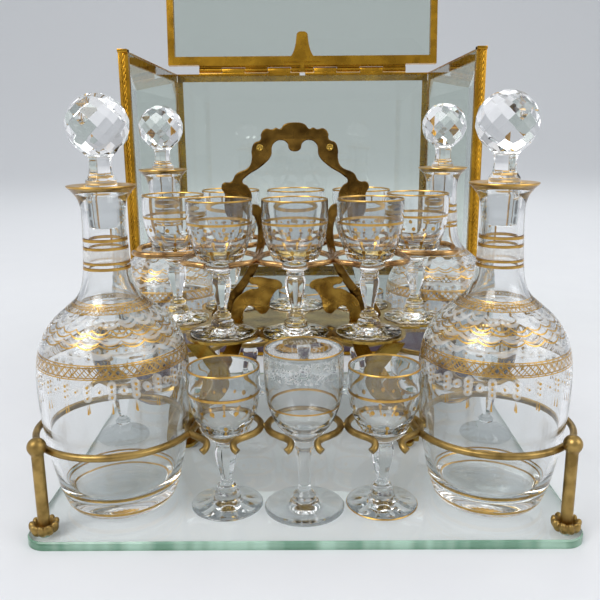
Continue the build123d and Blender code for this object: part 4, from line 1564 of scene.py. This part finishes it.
# --------------------------------------------------------------------------------------- stand
@dataclass
class Stand:
    """The shelf on its ribbon legs, the upper clips, and the fretted handle with its brackets."""

    nodes: dict[str, bpy.types.Object]
    tray: Tray
    offset: float = -5.0
    wire: float = 1.85
    wire_up: float = 135.0
    clip: float = 21.7
    pitch: float = 46.5
    row: float = 32.0
    side: float = 81.0
    half_clip: Sequence[Place] = (
        (12.4, 17.8, 0.0), (19.2, 10.1, 0.0), (21.9, 0.0, 0.0), (22.5, -8.0, 0.0),
        (21.9, -15.4, 0.0), (18.8, -21.4, 0.0), (13.2, -24.6, -0.1), (7.2, -26.2, -0.8),
    )
    handle_thick: float = 3.0
    leaf_thick: float = 2.0
    stud: Profile = ((2.4, -2.4), (2.4, 2.2), (2.1, 2.4), (1.4, 2.4), (1.2, 1.8), (0.5, 1.7))
    stud_across: float = 22.7
    stud_up: float = 201.6
    crest: Profile = (
        (0, 217.5), (6.6, 216.3), (9.6, 213.4), (12.0, 214.2), (14.4, 213.2), (18.8, 213.6),
        (21.8, 210.4), (22.2, 206.8), (26.4, 204.6), (28.2, 200.0), (28.2, 194.5),
        (30.2, 189.4), (38.8, 184.8), (42.2, 179.8), (47.4, 179.0), (48.6, 175.4),
        (46.8, 172.2), (46.4, 160.0), (42.0, 154.0), (34.0, 154.0), (31.4, 163.8),
        (28.6, 169.0), (31.4, 176.9), (34.6, 179.6), (32.0, 183.0), (21.6, 189.8),
        (15.6, 196.2), (14.2, 203.4), (9.6, 206.2), (5.0, 204.4), (3.6, 200.4), (0, 199.0),
    )
    leg: Profile = (
        (32.0, 162.0), (27.0, 156.0), (26.5, 136.0), (33.0, 121.0), (41.0, 109.5), (56.8, 93.0),
        (57.6, 87.8), (47.0, 87.8), (44.5, 91.0), (36.0, 106.0), (27.5, 119.0), (21.8, 134.0),
        (21.5, 160.0), (26.5, 165.0),
    )
    leaf: Profile = (
        (45.4, 87.6), (44.2, 92.0), (41.4, 101.0), (35.0, 106.6), (30.0, 108.8), (25.2, 109.9),
        (26.0, 111.2), (30.6, 112.6), (31.2, 115.8), (28.0, 117.0), (19.0, 116.2), (9.6, 112.8),
        (9.6, 109.6), (12.8, 108.0), (17.0, 101.5), (18.6, 94.4), (22.8, 91.4), (27.2, 94.2),
        (31.2, 97.2), (34.4, 95.0), (36.2, 91.0), (36.2, 87.6),
    )

    @property
    def middle(self) -> Vector:
        """The stand's middle on the slab's top face, in metres."""
        return self.tray.middle + Vector((self.offset * MM, 0, 0))

    def handle(self) -> None:
        """The fretted handle: crest, arms and curls, slender legs, and two eyed studs."""
        whole = [*self.crest, *mirrored(self.crest[1:-1])]
        crest = Bench.plate("crest", [whole], self.handle_thick, 0.9)
        legs = [
            Bench.plate("leg", [outline], self.handle_thick, 0.7)
            for outline in (self.leg, mirrored(self.leg))
        ]
        stud = Bench.turned("stud", self.stud, sides=20)
        stud.data.transform(Matrix.Rotation(math.radians(90), 4, "X"))
        studs = [
            Bench.twin(stud, "stud_twin", Vector((way * self.stud_across, 0, self.stud_up)) * MM)
            for way in (-1, 1)
        ]
        bpy.data.objects.remove(stud)
        CAST_BRASS.dress(*legs, crest)
        SHEET_BRASS.dress(*studs)
        handle = Bench.join("fretted_handle", [*legs, *studs, crest])
        Bench.shift(handle, self.middle)
        put(handle, "tray", "cast_brass", "carrying_handle")

    def brackets(self) -> None:
        """The pair of leaf scrolls in front of the handle."""
        outlines = [self.leaf, mirrored(self.leaf)]
        leaves = Bench.plate("leaf_scrolls", outlines, self.leaf_thick, 0.6)
        low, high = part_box("leaf_brackets")
        Bench.shift(leaves, (self.middle.x, (low.y + high.y) / 2, self.middle.z))
        place(leaves, LEAF_BRASS, "tray", "cast_brass", "leaf_brackets")

    def clips(self) -> Wirework:
        """The upper clips, with brazed beads, and links to the handle's legs.

        Returns:
            The wirework, not yet built.
        """
        half, joint = self.pitch / 2, (self.pitch + self.side) / 2
        return Wirework(
            level="upper",
            finish=ROSE_WIRE,
            slot="rose_wire",
            wire=self.wire,
            up=self.wire_up,
            clip=self.clip,
            pitch=self.pitch,
            row=self.row,
            side=self.side,
            lump=1.5,
            half=self.half_clip,
            joints=[
                *((way * half, -self.row - 10.0, 0.0) for way in (-1, 1)),
                *((way * joint, -self.row / 2, 0.0) for way in (-1, 1)),
            ],
            links=[
                [(way * half, -back, 0.0) for back in (self.handle_thick / 2, 16.0, self.row)]
                for way in (-1, 1)
            ],
        )

    def build(self) -> None:
        """Makes the handle, brackets and clips, and dresses the shelf, legs and screws."""
        self.handle()
        self.brackets()
        self.clips().build(self.middle)
        SHEET_BRASS.dress(self.nodes["glass_shelf"], self.nodes["ribbon_legs"])
        CASE_BRASS.dress(self.nodes["stand_screws"])
        log.info("stand dressed")


# ----------------------------------------------------------------------------------- decanters
@dataclass
class Decanters:
    """The four gilt decanters, each with its cut ball stopper."""

    outside: Profile = (
        (27.5, 0.3), (29.5, 1.2), (31.6, 4.0), (34.0, 10.0), (36.5, 20.0), (38.3, 30.0),
        (40.3, 42.0), (41.8, 54.0), (42.6, 68.0), (42.8, 80.0), (41.6, 92.0), (39.0, 100.0),
        (35.0, 107.0), (30.9, 112.0), (23.5, 118.0), (19.0, 121.6), (15.7, 125.6),
        (13.6, 133.0), (12.9, 140.0), (12.2, 150.0), (11.7, 165.0), (11.8, 174.0),
        (14.0, 179.0), (17.8, 182.6), (19.0, 183.9), (18.4, 184.6),
    )
    inside: Profile = (
        (12.0, 184.0), (9.1, 183.0), (9.0, 178.0), (8.5, 160.0), (9.2, 150.0), (10.2, 134.0),
        (12.0, 127.0), (17.0, 118.5), (27.0, 110.5), (35.2, 99.5), (38.6, 90.0), (39.5, 80.0),
        (39.2, 66.0), (37.0, 42.0), (34.6, 26.0), (31.0, 13.0), (26.0, 10.0), (12.0, 9.0),
    )
    ball: float = 16.2
    ball_up: float = 215.5
    uncut: float = 1.12
    turns: tuple[float, float] = (23.0, 17.0)
    cuts: Sequence[tuple[float, int, float]] = (
        (66.0, 5, 18.0), (45.0, 10, 0.0), (27.0, 10, 18.0), (9.0, 10, 0.0), (-9.0, 10, 18.0),
        (-27.0, 10, 0.0), (-47.0, 10, 18.0),
    )
    neck: Profile = (
        (6.4, 161.0), (8.1, 161.6), (8.3, 163.0), (8.8, 183.6), (8.2, 185.6), (8.6, 186.8),
        (7.4, 188.4), (6.4, 190.0), (6.0, 196.0), (6.6, 199.4), (8.4, 201.4),
    )
    neck_low: float = 187.0
    neck_high: float = 201.0
    neck_flats: int = 8

    def facets(self) -> list[tuple[float, float]]:
        """Each facet's tilt and way round in degrees: rings of them, then top and bottom."""
        rings = [(tilt, start + 360 * i / n) for tilt, n, start in self.cuts for i in range(n)]
        return [*rings, (90.0, 0.0), (-90.0, 0.0)]

    def stopper(self) -> bpy.types.Object:
        """The ball cut flat on a wheel, its faceted neck, and the plug below it.

        Returns:
            The stopper at its height over the origin.
        """
        Bench.clear()
        bpy.ops.mesh.primitive_ico_sphere_add(subdivisions=4, radius=self.ball * self.uncut * MM)
        ball = Bench.named("stopper_ball")
        with Bench.editing(ball):
            for tilt, around in self.facets():
                slope, turn = math.radians(tilt), math.radians(around)
                wide = math.cos(slope)
                out = Vector((wide * math.cos(turn), wide * math.sin(turn), math.sin(slope)))
                bpy.ops.mesh.select_all(action="SELECT")
                bpy.ops.mesh.bisect(
                    plane_co=out * self.ball * MM, plane_no=out, use_fill=True, clear_outer=True
                )
            bpy.ops.mesh.select_all(action="SELECT")
            bpy.ops.mesh.dissolve_limited(angle_limit=math.radians(2))
        Bench.shift(ball, (0, 0, self.ball_up * MM))
        Bench.close(ball, 8)
        neck = Bench.turned("stopper_neck", self.neck, sides=32)

        def cut(point: Vector) -> Vector:
            """Flattens the neck between lip and ball."""
            inside = self.neck_low < point.z / MM < self.neck_high
            return flattened(point, self.neck_flats) if inside else point

        Bench.move_points(neck, cut)
        return Bench.join("stopper_form", [neck, ball])

    def build(self) -> None:
        """Models one decanter and stopper, and sets the four of each in their places."""
        vessel = Bench.turned("decanter_form", [*self.outside, *self.inside], sides=56)
        Bench.wrap(vessel)
        stopper = self.stopper()
        for number, corner in enumerate(CORNERS):
            spot = box_middle(f"decanter_{corner}")
            for kind, form, title, finish, turn in (
                ("decanter", vessel, "gilt_decanter", DECANTER_GILDING, self.turns[0]),
                ("stopper", stopper, "cut_stopper", PLAIN_CRYSTAL, self.turns[1]),
            ):
                made = Bench.twin(form, f"{title}_{corner}", spot, turn * number)
                place(made, finish, f"{kind}_{corner}_body", "crystal", f"{kind}_{corner}")
        bpy.data.objects.remove(vessel)
        bpy.data.objects.remove(stopper)
        log.info("decanters placed")


# ------------------------------------------------------------------------------------- glasses
@dataclass
class SmallGlasses:
    """The sixteen stemmed glasses, of which the front middle one on the slab is larger."""

    nodes: dict[str, bpy.types.Object]
    small: Profile = (
        (19.4, 0.0), (20.8, 0.3), (21.0, 0.9), (20.4, 1.5), (17.0, 2.2), (12.0, 3.2),
        (8.8, 4.2), (7.0, 5.2), (7.5, 6.6), (7.2, 8.2), (5.4, 9.4), (5.2, 10.2), (6.1, 11.2),
        (5.8, 12.6), (3.6, 14.0), (2.9, 15.6), (3.3, 18.0), (4.8, 23.0), (6.3, 29.0),
        (6.9, 33.5), (5.9, 36.2), (4.9, 37.0), (5.9, 38.0), (5.8, 39.0), (5.2, 39.8),
        (7.0, 40.8), (11.4, 43.4), (14.2, 47.6), (16.4, 52.8), (18.6, 59.0), (20.0, 66.0),
        (20.6, 73.0), (20.6, 79.0), (20.6, 84.3), (20.3, 85.0), (19.6, 84.9), (19.3, 84.2),
        (19.3, 73.0), (18.6, 66.0), (17.0, 59.2), (14.4, 53.2), (11.0, 49.0), (6.0, 46.8),
        (2.0, 46.2),
    )
    large: Profile = (
        (22.0, 0.0), (23.1, 0.3), (23.3, 0.9), (22.6, 1.5), (17.0, 2.4), (10.0, 3.8),
        (6.6, 5.4), (6.9, 7.4), (6.2, 9.4), (4.2, 10.6), (3.4, 12.4), (3.5, 18.0), (4.0, 26.0),
        (4.6, 33.0), (5.1, 37.0), (6.6, 38.4), (6.5, 40.6), (5.4, 41.6), (6.2, 43.0),
        (10.6, 46.2), (14.8, 50.8), (17.8, 56.0), (20.4, 63.0), (21.8, 71.0), (22.3, 80.0),
        (22.3, 88.0), (22.3, 95.8), (22.0, 96.5), (21.4, 96.4), (21.1, 95.7), (21.0, 80.0),
        (20.4, 71.0), (18.8, 63.0), (16.0, 56.4), (12.6, 52.0), (7.0, 49.4), (2.0, 48.8),
    )
    stem_sides: int = 8
    stem_low: float = 15.0
    stem_high: float = 36.6
    foot_low: float = 0.9
    foot_high: float = 6.0
    crease: float = 14.0
    turn: float = 29.0
    petals: int = 10
    petal_ridge: float = 0.7
    petal_sink: float = 0.5
    petal_inner: float = 8.0
    petal_long: float = 13.0
    large_node: str = "lower_glass_front_centre"
    rimmed_node: str = "lower_glass_front_right"

    def wheel(self, point: Vector) -> Vector:
        """Flattens the stem's sides and hollows the foot between its petals.

        Args:
            point: the point's place in metres.

        Returns:
            Its place after the cut.
        """
        up, out = point.z / MM, point.xy.length / MM
        if self.stem_low < up < self.stem_high and out > 1.0:
            return flattened(point, self.stem_sides)
        if self.foot_low < up < self.foot_high and out > self.petal_inner:
            angle = math.atan2(point.y, point.x)
            fade = math.sin(math.pi * min(1.0, (out - self.petal_inner) / self.petal_long))
            ridge = self.petal_ridge * fade * abs(math.sin(angle * self.petals / 2))
            dip = ridge - self.petal_sink * fade
            return Vector((point.x, point.y, point.z + dip * MM))
        return point

    def build(self) -> None:
        """Models both sizes and sets a copy in each glass's place."""
        small = Bench.turned("small_glass_form", self.small, sides=40)
        Bench.move_points(small, self.wheel)
        Bench.hold(small)
        bpy.ops.object.shade_smooth_by_angle(angle=math.radians(self.crease))
        large = Bench.turned("large_glass_form", self.large, sides=40)
        for form in (small, large):
            Bench.wrap(form)
        names = sorted(n for n in self.nodes if n.startswith(("lower_glass", "upper_glass")))
        special = {
            self.large_node: (large, LARGE_GLASS_GILDING),
            self.rimmed_node: (small, RIMMED_FOOT_GILDING),
        }
        for number, node in enumerate(names):
            form, finish = special.get(node, (small, GLASS_GILDING))
            name = node.replace("glass", "cut_glass")
            made = Bench.twin(form, name, box_middle(node), self.turn * number)
            place(made, finish, f"{node}_body", "crystal", node)
        bpy.data.objects.remove(small)
        bpy.data.objects.remove(large)
        log.info("glasses placed")


def main() -> None:
    """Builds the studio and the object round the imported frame."""
    logging.basicConfig(level=logging.INFO, format="%(name)s: %(message)s")
    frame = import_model()
    nodes = frame["nodes"]
    Studio().build()
    DisplayCase(nodes).build()
    tray = Tray(nodes)
    tray.build()
    Stand(nodes, tray).build()
    Decanters().build()
    SmallGlasses(nodes).build()
    Bench.clear()


if __name__ == "__main__":
    main()
